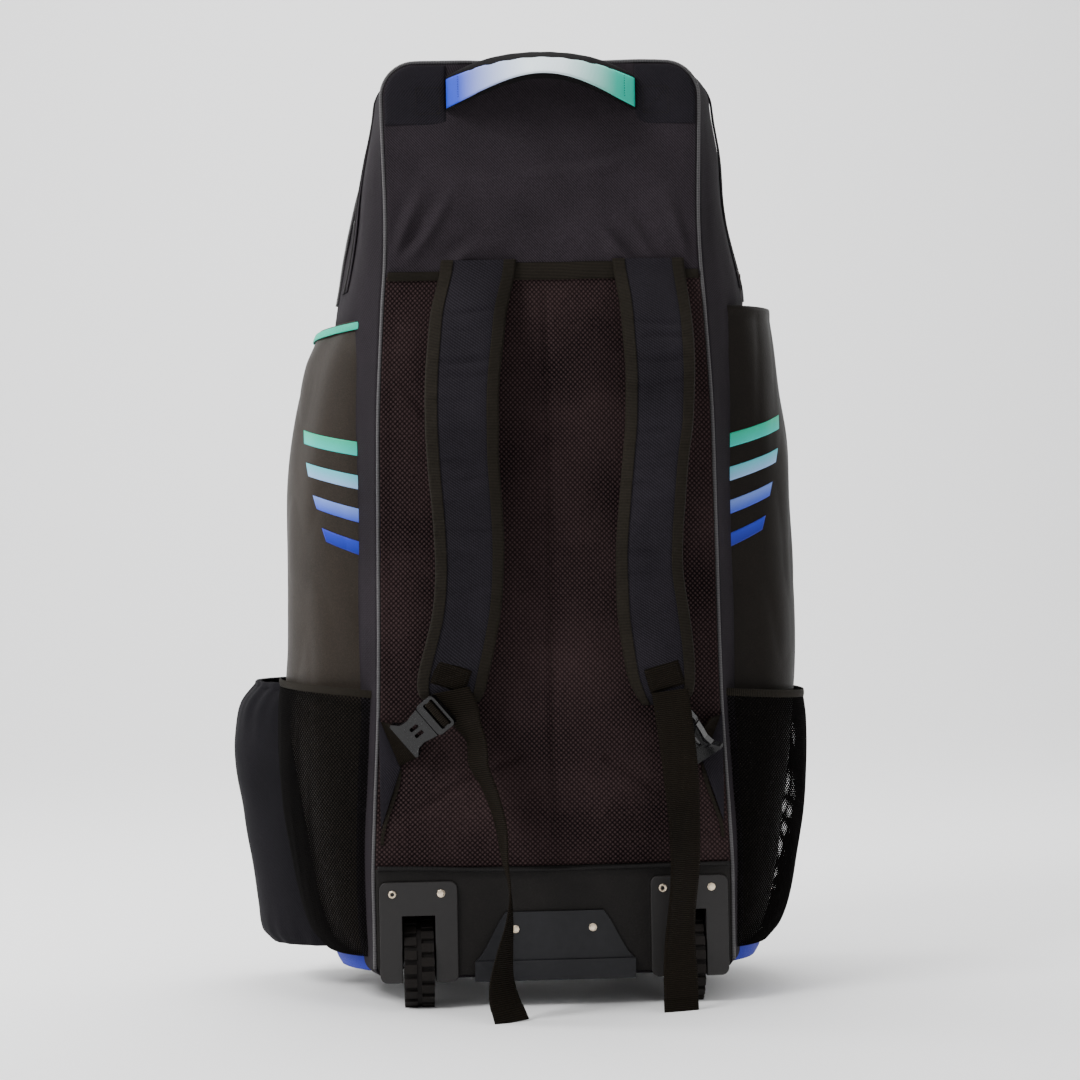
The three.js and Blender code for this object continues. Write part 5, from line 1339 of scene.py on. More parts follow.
@dataclass(frozen=True)
class Harness:
    """Shoulder pads with bindings, sewn patches, webbing tails, buckles and their anchors."""

    pad_width: float = 70.0
    pad_thick: float = 10.0
    pad_edge: float = 3.0
    pad_top: float = 780.0
    pad_length: float = 456.0
    standoff: float = 46.0
    webbing_width: float = 38.0
    tail_top: float = 333.4
    tail_length: float = 330.0
    # Share down, centre across, width share and standoff share
    left_rows: Table = Table(
        (
            (0.0, -67, 1.06, 0.0),
            (0.035, -69.5, 1.06, 0.045),
            (0.12, -78.5, 1.07, 0.4),
            (0.19, -83, 1.06, 0.72),
            (0.25, -86.5, 1.05, 0.86),
            (0.31, -88.5, 1.04, 0.94),
            (0.38, -89, 1.03, 0.99),
            (0.44, -88.5, 1.0, 1.0),
            (0.5, -87, 0.99, 1.0),
            (0.56, -85, 0.97, 0.98),
            (0.63, -83.6, 0.96, 0.95),
            (0.71, -83.8, 0.94, 0.88),
            (0.8, -87.5, 0.95, 0.76),
            (0.87, -94, 0.98, 0.64),
            (0.94, -101.5, 0.99, 0.48),
            (0.98, -104, 0.92, 0.44),
            (1.0, -103, 0.74, 0.42),
        )
    )
    right_rows: Table = Table(
        (
            (0.0, 109, 1.0, 0.0),
            (0.035, 110.5, 1.0, 0.045),
            (0.12, 114, 0.99, 0.4),
            (0.19, 115, 0.98, 0.72),
            (0.25, 115.5, 0.97, 0.86),
            (0.31, 115, 0.96, 0.94),
            (0.38, 113.5, 0.94, 0.99),
            (0.44, 110, 0.92, 1.0),
            (0.5, 107, 0.92, 1.0),
            (0.56, 104.5, 0.93, 0.98),
            (0.63, 102, 0.93, 0.95),
            (0.71, 101, 0.94, 0.88),
            (0.8, 104.5, 1.0, 0.76),
            (0.88, 109, 1.0, 0.64),
            (0.95, 113, 0.94, 0.54),
            (0.99, 115.5, 0.8, 0.49),
            (1.015, 114.5, 0.56, 0.47),
        )
    )
    # Heights of the short wrinkles of each pad over the floor, with a place across and a depth
    left_wrinkles: tuple[tuple[float, float, float], ...] = (
        (722, 0.3, 1.3), (703, -0.5, 0.9), (672, 0.0, 1.7), (657, 0.6, 1.3), (630, -0.4, 0.8),
        (600, 0.5, 1.0),
        (568, -0.2, 1.8), (552, 0.3, 1.5), (525, -0.6, 1.3), (499, 0.2, 1.8), (474, -0.3, 1.4),
        (440, 0.5, 0.9),
    )
    right_wrinkles: tuple[tuple[float, float, float], ...] = (
        (708, -0.3, 1.3), (693, 0.4, 1.4), (671, 0.0, 1.7), (646, 0.5, 1.3), (639, -0.5, 1.2),
        (598, 0.1, 1.6),
        (581, -0.4, 1.4), (571, 0.4, 1.3), (561, 0.0, 1.4), (543, -0.3, 1.6), (525, 0.4, 1.6),
        (474, 0.0, 1.9),
        (453, -0.2, 1.5),
    )
    # Share down, centre across, distance behind the back plane, lean and turn
    left_tail: Table = Table(
        (
            (-0.01, -104.5, 36, -4, 0),
            (0.037, -96.5, 36.5, -10, -12),
            (0.083, -90, 39, -8, -38),
            (0.136, -80.5, 43, -4, -60),
            (0.18, -78.5, 46, 0, -62),
            (0.22, -78, 49, 0, -62),
            (0.3, -67, 51, 0, -69),
            (0.4, -58, 54, 0, -75),
            (0.51, -54, 58, 0, -84),
            (0.6, -49, 62, 0, -92),
            (0.7, -50, 67, 0, -103),
            (0.79, -55, 72, 0, -117),
            (0.87, -58.5, 76, 0, -130),
            (0.93, -57, 79, 0, -144),
            (1.0, -50, 83, 0, -158),
        )
    )
    right_tail: Table = Table(
        (
            (0.005, 120.5, 38.6, 8, 0),
            (0.06, 122.5, 42.5, 4, 2),
            (0.14, 125.5, 45, 0, 6),
            (0.26, 129.5, 45, 0, 14),
            (0.4, 132.5, 41, 0, 26),
            (0.54, 132.8, 41, 0, 33),
            (0.68, 128.5, 42, 0, 37),
            (0.79, 125.7, 44, 0, 30),
            (0.9, 125.6, 46, 0, 19),
            (1.0, 126.3, 48, 0, 17),
        )
    )

    def pad_frame(self, rows: Table, down: float) -> tuple[Vector, Vector]:
        """Centre in millimetres and outward direction of a pad at a share down its length."""

        def place(share: float) -> Vector:
            """Centre of the pad at a share."""
            y = -5.2 - self.pad_edge / 2 - rows.value(3, share) * self.standoff
            return Vector((rows.value(1, share), y, self.pad_top - share * self.pad_length))

        along = place(min(down + 0.01, rows.rows[-1][0])) - place(max(down - 0.01, 0))
        along.x = 0
        along.normalize()
        return place(down), Vector((0, along.z, -along.y))

    def pad_point(self, side: Side, share: float, face: float, v: float, lift: float = 0.0) -> Vector:
        """Point on a pad.

        Args:
            side: Which pad.
            share: Place across, from -1 to 1.
            face: 1 for the outer face and -1 for the inner one.
            v: Share of the way down.
            lift: Distance over the face in millimetres.

        Returns:
            The point in metres.
        """
        rows = self.left_rows if side is Side.LEFT else self.right_rows
        down = v * rows.rows[-1][0]
        centre, outward = self.pad_frame(rows, down)
        half = self.pad_width * rows.value(2, down) / 2
        swell = min(down * 14, 1) * min(
            (rows.rows[-1][0] - down) * 30 + 0.35, 1
        ) * (self.pad_thick - self.pad_edge)
        z = centre.z
        wrinkle = 0.0
        if face > 0:
            for height, across, deep in self.left_wrinkles if side is Side.LEFT else self.right_wrinkles:
                line = height + 5 * share * across + 1.5 * math.sin(share * 3 + height)
                wrinkle -= 2.2 * deep * hump(z - line, 3.4) * hump(share - across * 0.5, 0.8)
                wrinkle += deep * 0.8 * hump(z - line - 7, 5) * hump(share - across * 0.5, 0.9)
        soft = 0.5 * ripple(share * 1.3, z * 0.02, side.value, 11)
        crown = self.pad_edge / 2 + (
            swell * (1 - abs(share) ** 3.2) + (wrinkle + soft) * (1 - share**8)
        ) * 0.62
        edge = 0.8 * ripple(z * 0.02, share, side.value, 12)
        place = centre + Vector((share * half + edge, 0, 0)) + outward * (face * (crown + lift))
        return at(*place)

    def pad(self, side: Side) -> None:
        """Padded part of one shoulder strap and its bindings."""

        def body(u: float, v: float) -> Vector:
            """Point of the padded body."""
            turn = (u % 1.0) * 2
            face = 1 if turn < 1 else -1
            share = math.cos(math.pi * turn) if turn < 1 else -math.cos(math.pi * (turn - 1))
            return self.pad_point(side, share * 0.985, face, v)

        mesh = grid(52, 300, body, (0.145, 0.456), wrap=True)
        ends = [edge for edge in mesh.edges if edge.is_boundary]
        bmesh.ops.holes_fill(mesh, edges=ends, sides=0)
        bmesh.ops.recalc_face_normals(mesh, faces=mesh.faces)
        piece = settle(f"shoulder_pad_cloth_{side.word}", mesh, "padding", [f"shoulder_pad_{side.word}"])
        for edge in (-1, 1):
            self.binding(side, edge)

    def binding(self, side: Side, edge: int) -> None:
        """Folded tape round one edge of a pad."""
        inner = 1 - 10.5 / (self.pad_width / 2)

        def place(u: float, v: float) -> Vector:
            """Point of the tape."""
            pucker = 0.25 * math.sin(v * 170 + edge) + 0.35 * ripple(v * 40, edge, side.value, 13)
            if u < 0.44:
                share = lerp(inner, 1.0, u / 0.44)
                return self.pad_point(side, share * edge, 1, v, 0.7 + pucker * (u / 0.44))
            if u > 0.56:
                share = lerp(1.0, inner, (u - 0.56) / 0.44)
                return self.pad_point(side, share * edge, -1, v, 0.7)
            angle = math.pi * (u - 0.44) / 0.12
            front = self.pad_point(side, edge, 1, v, 0.7)
            back = self.pad_point(side, edge, -1, v, 0.7)
            middle = (front + back) / 2
            out = Vector((edge, 0, 0))
            return middle + (front - back) / 2 * math.cos(angle) + out * 0.0016 * math.sin(angle)

        mesh = grid(20, 220, place, (0.026, 0.456))
        bmesh.ops.recalc_face_normals(mesh, faces=mesh.faces)
        word = "outer" if edge == side.value else "inner"
        piece = settle(f"pad_binding_{side.word}_{word}", mesh, "binding")
        thicken(piece, 0.9, 0.0)

    def patch(self, side: Side) -> None:
        """Webbing square on a pad with its sewn box and one diagonal."""
        rows = self.left_rows if side is Side.LEFT else self.right_rows
        across, lean = (-104, -20) if side is Side.LEFT else (115.5, 16)
        centre, outward = self.pad_frame(rows, 0.94 if side is Side.LEFT else 0.95)
        lift = self.pad_thick / 2 + 1.5
        wide = Vector((math.cos(math.radians(lean)), 0, math.sin(math.radians(lean))))
        high = outward.cross(wide).normalized()
        middle = Vector((across, centre.y, centre.z)) + outward * lift
        if high.z < 0:
            high = -high

        def on(w: float, h: float, rise: float) -> Vector:
            """Point of the square for shares of half its width and height."""
            return at(*(middle + wide * (w * 18.2) + high * (h * 12.8) + outward * rise))

        def place(u: float, v: float) -> Vector:
            """Point of the webbing square."""
            w = u * 2 - 1
            h = v * 2 - 1
            return on(w, h, 0.8 * (1 - w**6) * (1 - h**6) - 1.0 * max(abs(w), abs(h)) ** 8)

        mesh = grid(14, 12, place, (0.0365, 0.0255))
        bmesh.ops.recalc_face_normals(mesh, faces=mesh.faces)
        piece = settle(f"strap_patch_webbing_{side.word}", mesh, "webbing", [f"strap_patch_{side.word}"])
        thicken(piece, 1.6, 0.0)
        box = [(-0.8, -0.75), (0.8, -0.75), (0.8, 0.75), (-0.8, 0.75), (-0.8, -0.75), (0.8, 0.75)]
        line = []
        for a, b in zip(box, box[1:]):
            line += [on(lerp(a[0], b[0], i / 4), lerp(a[1], b[1], i / 4), 1.5) for i in range(4)]
        line.append(on(0.8, 0.75, 1.5))
        stitches(f"strap_patch_thread_{side.word}", line, outward, 2.8, 0.55)

    def tail_frame(self, table: Table, share: float) -> tuple[Vector, Vector, Vector]:
        """Centre in millimetres, width direction and thin direction of a tail."""

        def place(s: float) -> Vector:
            """Centre of the tail at a share of its rows."""
            return Vector((table.value(1, s), -3 - table.value(2, s), self.tail_top - s * self.tail_length))

        first = table.rows[0][0]
        along = (place(min(share + 0.01, 1)) - place(max(share - 0.01, first))).normalized()
        turn = math.radians(table.value(4, share))
        lean = math.radians(table.value(3, share))
        wide = Vector((math.cos(turn) * math.cos(lean), math.sin(turn), math.cos(turn) * math.sin(lean)))
        wide = (wide - along * wide.dot(along) * 0.5).normalized()
        return place(share), wide, wide.cross(along).normalized()

    def tail(self, side: Side) -> None:
        """Free webbing tail with its folded hem."""
        table = self.left_tail if side is Side.LEFT else self.right_tail
        first = table.rows[0][0]

        def place(u: float, v: float) -> Vector:
            """Point of the webbing."""
            share = lerp(first, 1.0, v)
            centre, wide, thin = self.tail_frame(table, share)
            w = u * 2 - 1
            cup = 1.2 * (w * w - 0.4) * math.sin(v * 6 + side.value)
            wave = 0.8 * ripple(v * 7, w * 0.6, side.value, 14)
            hem = 0.9 * ease((v - 0.955) / 0.006)
            return at(*(centre + wide * (w * self.webbing_width / 2) + thin * (cup + wave + hem)))

        mesh = grid(12, 180, place, (0.038, 0.34))
        piece = settle(f"strap_tail_webbing_{side.word}", mesh, "webbing", [f"strap_tail_{side.word}"])
        thicken(piece, 1.7, 0.0)
        line = []
        for i in range(7):
            centre, wide, thin = self.tail_frame(table, 0.955)
            line.append(at(*(centre + wide * (lerp(-16, 16, i / 6)) + thin * 1.6)))
        stitches(f"tail_hem_thread_{side.word}", line, self.tail_frame(table, 0.955)[2], 2.6, 0.5)

    def anchor(self, side: Side) -> None:
        """Cloth tab at the panel's edge, its webbing and the binding under it."""
        outer = FORM.outline_half(236, 4.0) - 1.5
        sign = side.value

        def tab(u: float, v: float) -> Vector:
            """Point of the triangular tab."""
            z = lerp(193, 307, v)
            reach = 21.5 * (1 - abs(z - 256) / (51 if z > 256 else 63))
            puff = 1.8 * math.sin(math.pi * clamp(v, 0.03, 0.97)) * math.sin(math.pi * clamp(u * 0.85 + 0.05))
            return at(sign * (outer - reach * u), -3.6 - 3.4 * clamp(reach / 6) - puff * clamp(reach / 14), z)

        mesh = grid(12, 36, tab, (0.0215, 0.114))
        bmesh.ops.recalc_face_normals(mesh, faces=mesh.faces)
        piece = settle(f"anchor_tab_cloth_{side.word}", mesh, "padding", [f"anchor_tab_{side.word}"])
        thicken(piece, 1.6, 0.0)
        corners = [(outer - 2, 304), (outer - 20.5, 258), (outer - 41, 268), (outer - 13, 301)]

        def web(u: float, v: float) -> Vector:
            """Point of the anchor webbing."""
            low_x = lerp(corners[1][0], corners[2][0], v)
            low_z = lerp(corners[1][1], corners[2][1], v)
            high_x = lerp(corners[0][0], corners[3][0], v)
            high_z = lerp(corners[0][1], corners[3][1], v)
            return at(sign * lerp(low_x, high_x, u), -8.4 - 9 * v**1.6, lerp(low_z, high_z, u))

        mesh = grid(12, 14, web, (0.038, 0.026))
        bmesh.ops.recalc_face_normals(mesh, faces=mesh.faces)
        strip = settle(f"anchor_strap_{side.word}", mesh, "webbing", [f"anchor_webbing_{side.word}"])
        thicken(strip, 1.7, 0.0)

        def edge(u: float, v: float) -> Vector:
            """Point of the binding that runs down from the tab's corner."""
            x = outer - lerp(20, 1, ease(v)) + (u - 0.5) * 5 * (1 - v * 0.3)
            z = lerp(254, 176, v)
            return at(sign * x, -6.2 + 2.4 * v, z)

        strip = settle(f"anchor_binding_{side.word}", grid(5, 30, edge, (0.006, 0.08)), "binding")
        thicken(strip, 1.4, 0.0)

    def buckle(self, side: Side) -> None:
        """Side-release buckle with the webbing over its bar."""
        softened(f"buckle_ladder_{side.word}", f"buckle_frame_{side.word}", "gloss", 0.9, segments=3)
        softened(f"buckle_body_{side.word}", f"buckle_socket_{side.word}", "gloss", 0.9, segments=3)
        if side is Side.LEFT:
            spot = Vector((-132.5, -34.5, 302))
            lean, roll, tilt = 140, 0, 25
        else:
            spot = Vector((142, -25.5, 285.5))
            lean, roll, tilt = 52, 38, 3
        turn = (
            Matrix.Rotation(math.radians(lean), 3, "Y")
            @ Matrix.Rotation(math.radians(roll), 3, "X")
            @ Matrix.Rotation(math.radians(tilt), 3, "Z")
        )
        path = []
        for i in range(25):
            z = lerp(-15, 15, i / 24)
            centre = spot + turn @ Vector((-20.6, -2.6, z))
            path.append((at(*centre), turn @ Vector((1, 0, 0)), turn @ Vector((0, -1, 0))))
        settle(f"buckle_loop_{side.word}", sweep(path, rounded(4.2, 1.9), 16), "webbing")

    def build(self) -> None:
        """Builds both halves of the harness."""
        for side in Side:
            self.pad(side)
            self.patch(side)
            self.tail(side)
            self.anchor(side)
            self.buckle(side)


@dataclass(frozen=True)
class Flank:
    """Bulging form at one side of the bag, in millimetres, swept up from its base."""

    side: Side
    bottom: float
    height: float
    near: float
    far: float
    half: float
    power: float
    sections: Table
    tilt: float = 0.0
    root: float = 157.9

    def place(self, angle: float, share: float, lift: float = 0.0, near: float | None = None) -> Vector:
        """Point of the outside.

        Args:
            angle: Way round from the harness side's root, 0, to the front's, pi.
            share: Share of the height.
            lift: Distance outside the form.
            near: Depth of the harness side, where it isn't the form's own.

        Returns:
            The point in millimetres.
        """
        start = self.near if near is None else near
        reach = self.half * self.sections.value(1, share) + lift
        swell = abs(math.sin(angle)) ** (2 / self.power)
        swing = math.copysign(abs(math.cos(angle)) ** (2 / self.power), math.cos(angle))
        x = self.root + (reach - self.root) * swell
        y = (start + self.far) / 2 - ((self.far - start) / 2 + lift) * swing
        z = self.bottom + self.height * share + self.tilt * share * (x - self.root) / (reach - self.root)
        return Vector((self.side.value * x, y, z))


FOOT_ROWS = ((0.0, 0.8), (0.03, 0.836), (0.1, 0.89), (0.25, 0.947))
LEFT_SLEEVE_ROWS = Table(
    FOOT_ROWS
    + (
        (0.417, 1.002),
        (0.5, 0.993),
        (0.65, 0.99),
        (0.742, 0.986),
        (0.81, 0.971),
        (0.886, 0.94),
        (0.947, 0.906),
        (0.978, 0.872),
        (1.0, 0.85),
    )
)
RIGHT_SLEEVE_ROWS = Table(
    FOOT_ROWS
    + (
        (0.42, 0.997),
        (0.573, 0.998),
        (0.69, 0.99),
        (0.765, 0.99),
        (0.811, 0.981),
        (0.871, 0.956),
        (0.942, 0.936),
        (1.0, 0.914),
    )
)
NET_ROWS = Table(
    (
        (0.0, 0.835),
        (0.06, 0.885),
        (0.17, 0.925),
        (0.33, 0.957),
        (0.52, 0.985),
        (0.73, 1.0),
        (0.9, 0.997),
        (1.0, 0.985),
    )
)
POCKET_ROWS = Table(
    (
        (0.0, 0.885),
        (0.04, 0.915),
        (0.14, 0.93),
        (0.3, 0.95),
        (0.5, 0.975),
        (0.68, 0.998),
        (0.82, 0.995),
        (0.92, 0.972),
        (1.0, 0.915),
    )
)


@dataclass(frozen=True)
class BatSleeve:
    """Coated bat sleeve at one side, with its slanted colour stripes."""

    side: Side
    bottom: float = 40.0
    height: float = 694.0
    wall: float = 2.4
    lowest_bar: float = 470.0
    bar_step: float = 36.0
    bar_slant: float = 26.0
    bar_reaches: tuple[float, ...] = (0.62, 0.74, 0.86, 0.98)

    @property
    def form(self) -> Flank:
        """Outer form of the sleeve."""
        if self.side is Side.LEFT:
            return Flank(self.side, self.bottom, self.height - 5, 28, 256, 279, 2.3, LEFT_SLEEVE_ROWS, -12)
        return Flank(self.side, self.bottom, self.height, 28, 256, 279, 2.3, RIGHT_SLEEVE_ROWS)

    def wrinkle(self, p: Vector) -> float:
        """Long soft folds of the coated cloth."""
        long_fold = ripple(p.x * 0.02, p.y * 0.014, p.z * 0.006, 21 + self.side.value)
        ridge = abs(ripple(p.x * 0.03, p.y * 0.02, p.z * 0.009, 23 + self.side.value)) ** 0.6
        edge = ease((p.z - self.bottom) / 16) * ease((self.bottom + self.height - p.z) / 14)
        return (-1.7 + 1.5 * long_fold + 1.8 * (ridge - 0.55)) * edge

    def build(self) -> None:
        """Builds the sleeve."""
        form = self.form

        def place(u: float, v: float) -> Vector:
            """Point of the sleeve."""
            return at(*form.place(math.pi * u, v))

        mesh = grid(84, 170, place, (0.34, 0.694))
        crumple(mesh, self.wrinkle)
        # The left sleeve takes the coated cloth painted lit and the right one the copy painted shaded.
        piece = settle(
            f"sleeve_cloth_{self.side.word}", mesh, f"coated_{self.side.word}",
            [f"bat_sleeve_{self.side.word}"]
        )
        thicken(piece, self.wall)
        self.stripes()
        if self.side is Side.LEFT:
            self.teal_edge()

    def stripes(self) -> None:
        """Four slanted welded bars whose colour runs from blue at the bottom to teal at the top."""
        form = self.form
        for index, reach in enumerate(self.bar_reaches):
            low = self.lowest_bar + self.bar_step * index

            def place(u: float, v: float, low: float = low, reach: float = reach) -> Vector:
                """Point of a bar."""
                angle = lerp(0.1, reach + 0.05 * v, u)
                z = low + STRIPE_HEIGHT * 1000 * v + self.bar_slant * u
                share = (z - form.bottom) / form.height
                drop = self.wrinkle(form.place(angle, share))
                return at(*form.place(angle, share, 0.5 + drop))

            mesh = grid(40, 8, place, (0.12, STRIPE_HEIGHT))
            face_out(mesh)
            piece = settle(f"sleeve_stripe_{self.side.word}_{index}", mesh, f"stripe_{index}")
            thicken(piece, 0.5, 0.0)

    def teal_edge(self) -> None:
        """Teal binding along the sleeve's mouth."""
        form = self.form

        def place(u: float, v: float) -> Vector:
            """Point of the edge."""
            angle = lerp(0.1, 2.2, v)
            share = 1 - 0.0125 + 0.0125 * (u - 0.25) * 0.9
            return at(*form.place(angle, min(share, 1.0), 0.9 + 0.5 * math.sin(math.pi * u)))

        mesh = grid(6, 60, place, (0.008, 0.2))
        bmesh.ops.recalc_face_normals(mesh, faces=mesh.faces)
        piece = settle("sleeve_teal_edge", mesh, "teal", ["sleeve_trim_left"])
        thicken(piece, 1.4, 0.0)


@dataclass(frozen=True)
class NetPocket:
    """See-through net pocket over a sleeve, with its bindings."""

    side: Side
    bottom: float = 58.0
    height: float = 270.0
    cell: float = 4.2
    thread: float = 1.45

    @property
    def form(self) -> Flank:
        """Outer form of the net."""
        tilt = 12.0 if self.side is Side.LEFT else -10.0
        return Flank(self.side, self.bottom, self.height, 13, 271, 288, 2.3, NET_ROWS, tilt)

    def build(self) -> None:
        """Builds the pocket."""
        form = self.form
        reach = 0.5 if self.side is Side.LEFT else 0.86
        end = math.pi * reach

        def place(u: float, v: float) -> Vector:
            """Point of the net."""
            angle = end * u
            bag = 1.6 * ripple(u * 3, v * 3, self.side.value, 31) - 1.6
            bag += 1.5 * ripple(u * 13 + v * 2, v * 1.4, self.side.value, 32)
            return at(*form.place(angle, v, bag * math.sin(math.pi * clamp(v, 0.02, 0.98))))

        wide = sum(
            (place((i + 1) / 24, 0.5) - place(i / 24, 0.5)).length for i in range(24)
        )
        columns = round(wide * 1000 / self.cell)
        rows = round(self.height / self.cell)
        mesh = grid(columns, rows, place, (wide, self.height / 1000))
        for edge in mesh.edges:
            edge.smooth = True
        bmesh.ops.poke(mesh, faces=mesh.faces)
        lines = [
            edge
            for edge in mesh.edges
            if len(edge.link_faces) == 2 and all(len(v.link_edges) > 4 for v in edge.verts)
        ]
        bmesh.ops.dissolve_edges(mesh, edges=lines, use_verts=False)
        piece = settle(f"net_{self.side.word}", mesh, "net", [f"mesh_pocket_{self.side.word}"])
        net = piece.modifiers.new("threads", "WIREFRAME")
        net.thickness = self.thread / 1000
        net.use_even_offset = False
        net.use_boundary = True
        self.bindings(form, end)

    def bindings(self, form: Flank, end: float) -> None:
        """Tape along the mouth and the harness-side seam, and the coloured foot edge."""

        def mouth(u: float, v: float) -> Vector:
            """Point of the mouth tape."""
            lift = 0.8 + 0.6 * math.sin(math.pi * u)
            return at(*(form.place(end * v, 1.0, lift) + Vector((0, 0, lerp(-3.2, 4.6, u)))))

        mesh = grid(6, 70, mouth, (0.008, 0.24))
        bmesh.ops.recalc_face_normals(mesh, faces=mesh.faces)
        piece = settle(f"net_mouth_{self.side.word}", mesh, "binding", [f"mesh_binding_{self.side.word}"])
        thicken(piece, 1.3, 0.0)

        def root(u: float, v: float) -> Vector:
            """Point of the seam tape at the harness side."""
            angle = lerp(0.02, 0.16, u)
            return at(*form.place(angle, v, 0.9))

        mesh = grid(5, 60, root, (0.008, 0.27))
        bmesh.ops.recalc_face_normals(mesh, faces=mesh.faces)
        piece = settle(f"net_seam_{self.side.word}", mesh, "binding")
        thicken(piece, 1.0, 0.0)

        sleeve = BatSleeve(self.side).form

        def foot(u: float, v: float) -> Vector:
            """Point of the blue foot edge."""
            z_share = (lerp(41, 57.4, u) - sleeve.bottom) / sleeve.height
            angle = lerp(0.35, 1.15, v)
            return at(*sleeve.place(angle, z_share, 2.2 + 0.8 * math.sin(math.pi * u)))

        mesh = grid(8, 40, foot, (0.017, 0.09))
        bmesh.ops.recalc_face_normals(mesh, faces=mesh.faces)
        piece = settle(f"foot_edge_{self.side.word}", mesh, "blue", [f"pocket_trim_{self.side.word}"])
        thicken(piece, 1.2, 0.0)


@dataclass(frozen=True)
class ClothPocket:
    """Gathered cloth pocket in front of the left net."""

    bottom: float = 53.0
    height: float = 286.0

    @property
    def form(self) -> Flank:
        """Outer form of the pocket."""
        return Flank(Side.LEFT, self.bottom, self.height, 122, 300, 342, 2.6, POCKET_ROWS)

    def build(self) -> None:
        """Builds the pocket."""
        form = self.form

        def place(u: float, v: float) -> Vector:
            """Point of the pocket."""
            angle = math.pi * u
            gather = clamp((v - 0.72) / 0.28) ** 1.5
            low = clamp((0.16 - v) / 0.16) ** 1.5
            pleat = math.sin(angle * 34) * 0.5 + math.sin(angle * 21 + 1.3) * 0.5
            depth = pleat * 2.0 * gather + pleat * 1.2 * low
            soft = 3.0 * ripple(angle * 1.3, v * 3.5, 0, 41) + 1.4 * ripple(angle * 3, v * 7, 0, 42)
            body = math.sin(math.pi * clamp(v, 0.01, 0.99)) ** 0.5
            return at(*form.place(angle, v, -2.6 + depth + soft * body))

        mesh = grid(150, 96, place, (0.42, 0.29))
        face_out(mesh)
        piece = settle("pocket_cloth", mesh, "navy", ["cloth_pocket_left"])
        thicken(piece, 1.6)

        def mouth(u: float, v: float) -> Vector:
            """Point of the gathered mouth's tape."""
            angle = math.pi * lerp(0.01, 0.99, v)
            lift = 0.3 + 0.9 * math.sin(math.pi * u) + 0.5 * math.sin(angle * 34)
            return at(*(form.place(angle, 1.0, lift) + Vector((0, 0, lerp(-9, -0.3, u)))))

        tape = grid(8, 120, mouth, (0.01, 0.4))
        bmesh.ops.recalc_face_normals(tape, faces=tape.faces)
        band = settle("pocket_mouth", tape, "navy")
        thicken(band, 1.2, 0.0)


@dataclass(frozen=True)
class HardBase:
    """Wheel housings, kick plate, rivets and feet."""

    def build(self) -> None:
        """Dresses the hard parts of the base."""
        for side in Side:
            softened(f"housing_{side.word}", f"wheel_housing_{side.word}", "housing", 1.2, segments=3)
            softened(f"foot_{side.word}", f"base_foot_{side.word}", "rubber", 1.5)
            for word in ("outer", "inner"):
                name = f"rivet_{side.word}_{word}"
                softened(f"{name}_head", name, "nickel", 0.5)
            softened(f"rivet_kick_{side.word}_head", f"rivet_kick_{side.word}", "nickel", 0.5)
        softened("kick_guard", "kick_plate", "kick", 1.4, segments=3)


@dataclass(frozen=True)
class Wheels:
    """Wheels with their axles."""

    def build(self) -> None:
        """Dresses the wheels."""
        for side in Side:
            body = Body.WHEEL_LEFT if side is Side.LEFT else Body.WHEEL_RIGHT
            softened(f"tyre_rubber_{side.word}", f"tyre_{side.word}", "tyre", 0.7, body=body)
            softened(f"hub_body_{side.word}", f"hub_{side.word}", "housing", 0.8, body=body)
            softened(f"axle_rod_{side.word}", f"axle_{side.word}", "steel", 0.4)


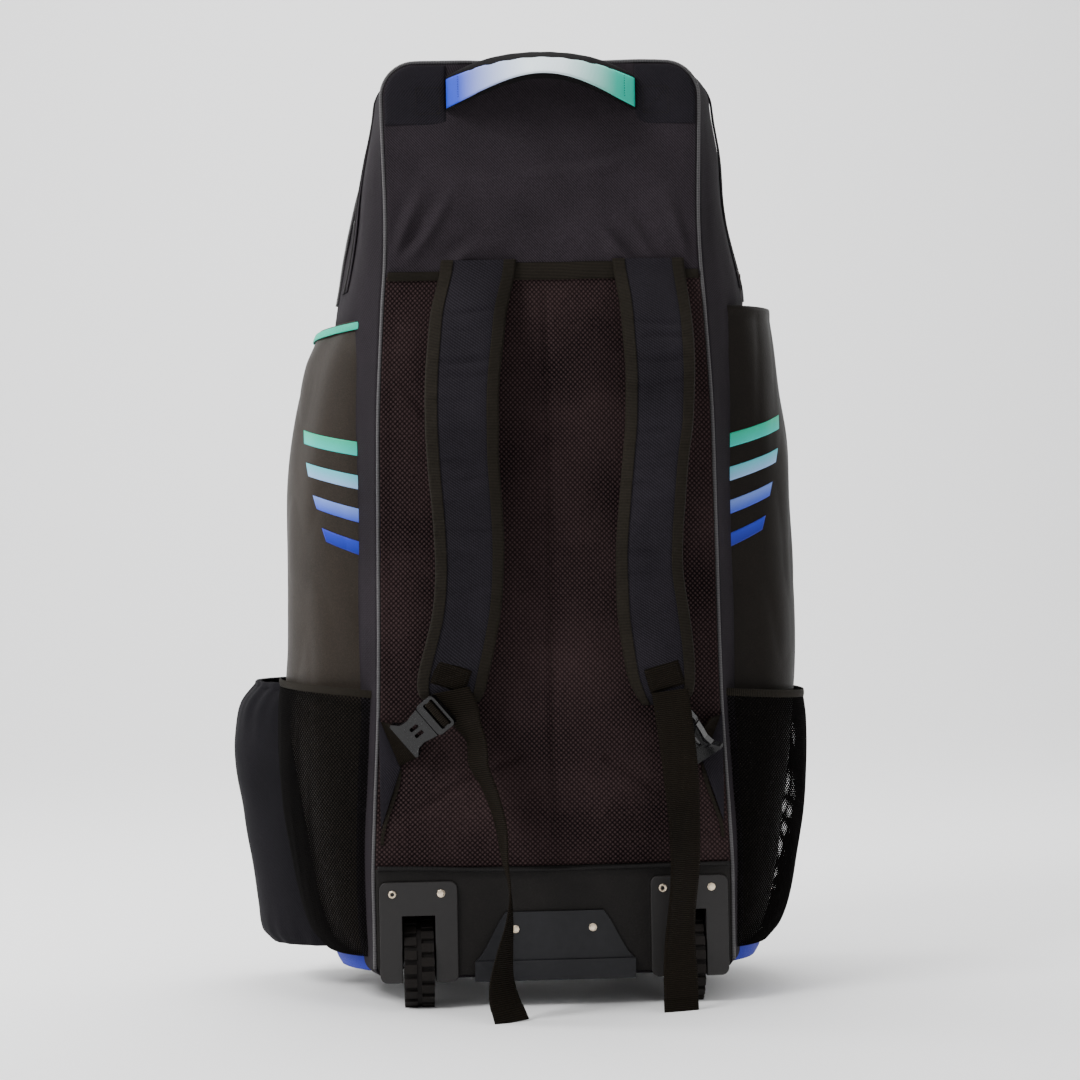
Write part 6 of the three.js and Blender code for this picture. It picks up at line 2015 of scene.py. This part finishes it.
@dataclass(frozen=True)
class Studio:
    """Floor, soft lights and the camera at the photograph's viewing angle."""

    focal: float = 90.0
    roll: float = -1.0
    eye: tuple[float, float, float] = (-179.5, -2802.8, 489.0)
    aim: tuple[float, float, float] = (-8.1, 0.0, 489.0)

    def floor(self) -> None:
        """Plain pale floor that rises in a soft curve behind the bag."""
        rows = ((-3.4, 0.0), (2.2, 0.0), (2.9, 0.1), (3.3, 0.42), (3.5, 0.95), (3.5, 3.6))
        mesh = bmesh.new()
        last = None
        for y, z in rows:
            pair = [mesh.verts.new((x, y, z)) for x in (-4.5, 4.5)]
            if last:
                mesh.faces.new((last[0], last[1], pair[1], pair[0]))
            last = pair
        data = bpy.data.meshes.new("floor")
        mesh.to_mesh(data)
        mesh.free()
        for face in data.polygons:
            face.use_smooth = True
        piece = bpy.data.objects.new("floor", data)
        bpy.context.collection.objects.link(piece)
        curve = piece.modifiers.new("curve", "SUBSURF")
        curve.levels = 4
        curve.render_levels = 4
        pale = bpy.data.materials.new("pale_floor")
        pale.use_nodes = True
        shader = pale.node_tree.nodes["Principled BSDF"]
        shader.inputs["Base Color"].default_value = (0.93, 0.93, 0.935, 1)
        shader.inputs["Roughness"].default_value = 0.75
        data.materials.append(pale)

    def light(
        self,
        name: str,
        place: tuple[float, float, float],
        size: tuple[float, float],
        power: float,
        aim: tuple[float, float, float] = (0.0, 0.0, 0.5),
    ) -> None:
        """One soft rectangular light aimed at a point, by default the bag's middle."""
        data = bpy.data.lights.new(name, "AREA")
        data.shape = "RECTANGLE"
        data.size, data.size_y = size
        data.energy = power
        lamp = bpy.data.objects.new(name, data)
        bpy.context.collection.objects.link(lamp)
        spot = Vector(place)
        lamp.location = spot
        lamp.rotation_euler = (Vector(aim) - spot).to_track_quat("-Z", "Y").to_euler()

    def build(self) -> None:
        """Builds the studio."""
        self.floor()
        self.light("key", (-2.3, -1.7, 2.5), (1.2, 1.2), 120)
        self.light("fill", (2.3, -2.2, 1.4), (1.6, 2.0), 14)
        self.light("rim_left", (-2.2, 0.6, 1.3), (0.8, 1.8), 34)
        self.light("rim_right", (2.0, 0.9, 1.5), (0.8, 1.8), 12)
        self.light("top", (0.0, 0.2, 2.9), (1.6, 1.2), 60)
        self.light("backdrop", (0.0, 1.3, 2.9), (3.0, 0.8), 70, (0.0, 3.4, 0.7))
        world = bpy.data.worlds.new("soft_room")
        world.use_nodes = True
        back = world.node_tree.nodes["Background"]
        back.inputs["Color"].default_value = (1, 1, 1, 1)
        back.inputs["Strength"].default_value = 0.55
        bpy.context.scene.world = world
        self.camera()

    def camera(self) -> None:
        """Camera of the photograph."""
        data = bpy.data.cameras.new("photo_camera")
        data.lens = self.focal
        data.sensor_width = 36
        data.clip_end = 60
        camera = bpy.data.objects.new("photo_camera", data)
        bpy.context.collection.objects.link(camera)
        eye = at(*self.eye)
        turn = (at(*self.aim) - eye).to_track_quat("-Z", "Y").to_matrix()
        turn = turn @ Matrix.Rotation(math.radians(self.roll), 3, "Z")
        camera.matrix_world = Matrix.LocRotScale(eye, turn, None)
        bpy.context.scene.camera = camera


def main() -> None:
    """Builds and dresses the bag, piece by piece."""
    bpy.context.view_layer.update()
    parts = [Studio(), SoftBody(), BackPanels(), GrabHandle(), Harness()]
    parts += [part(side) for side in Side for part in (BatSleeve, NetPocket)]
    parts += [ClothPocket(), HardBase(), Wheels()]
    for part in parts:
        part.build()
        LOG.info("%s built", type(part).__name__)


if __name__ == "__main__":
    main()
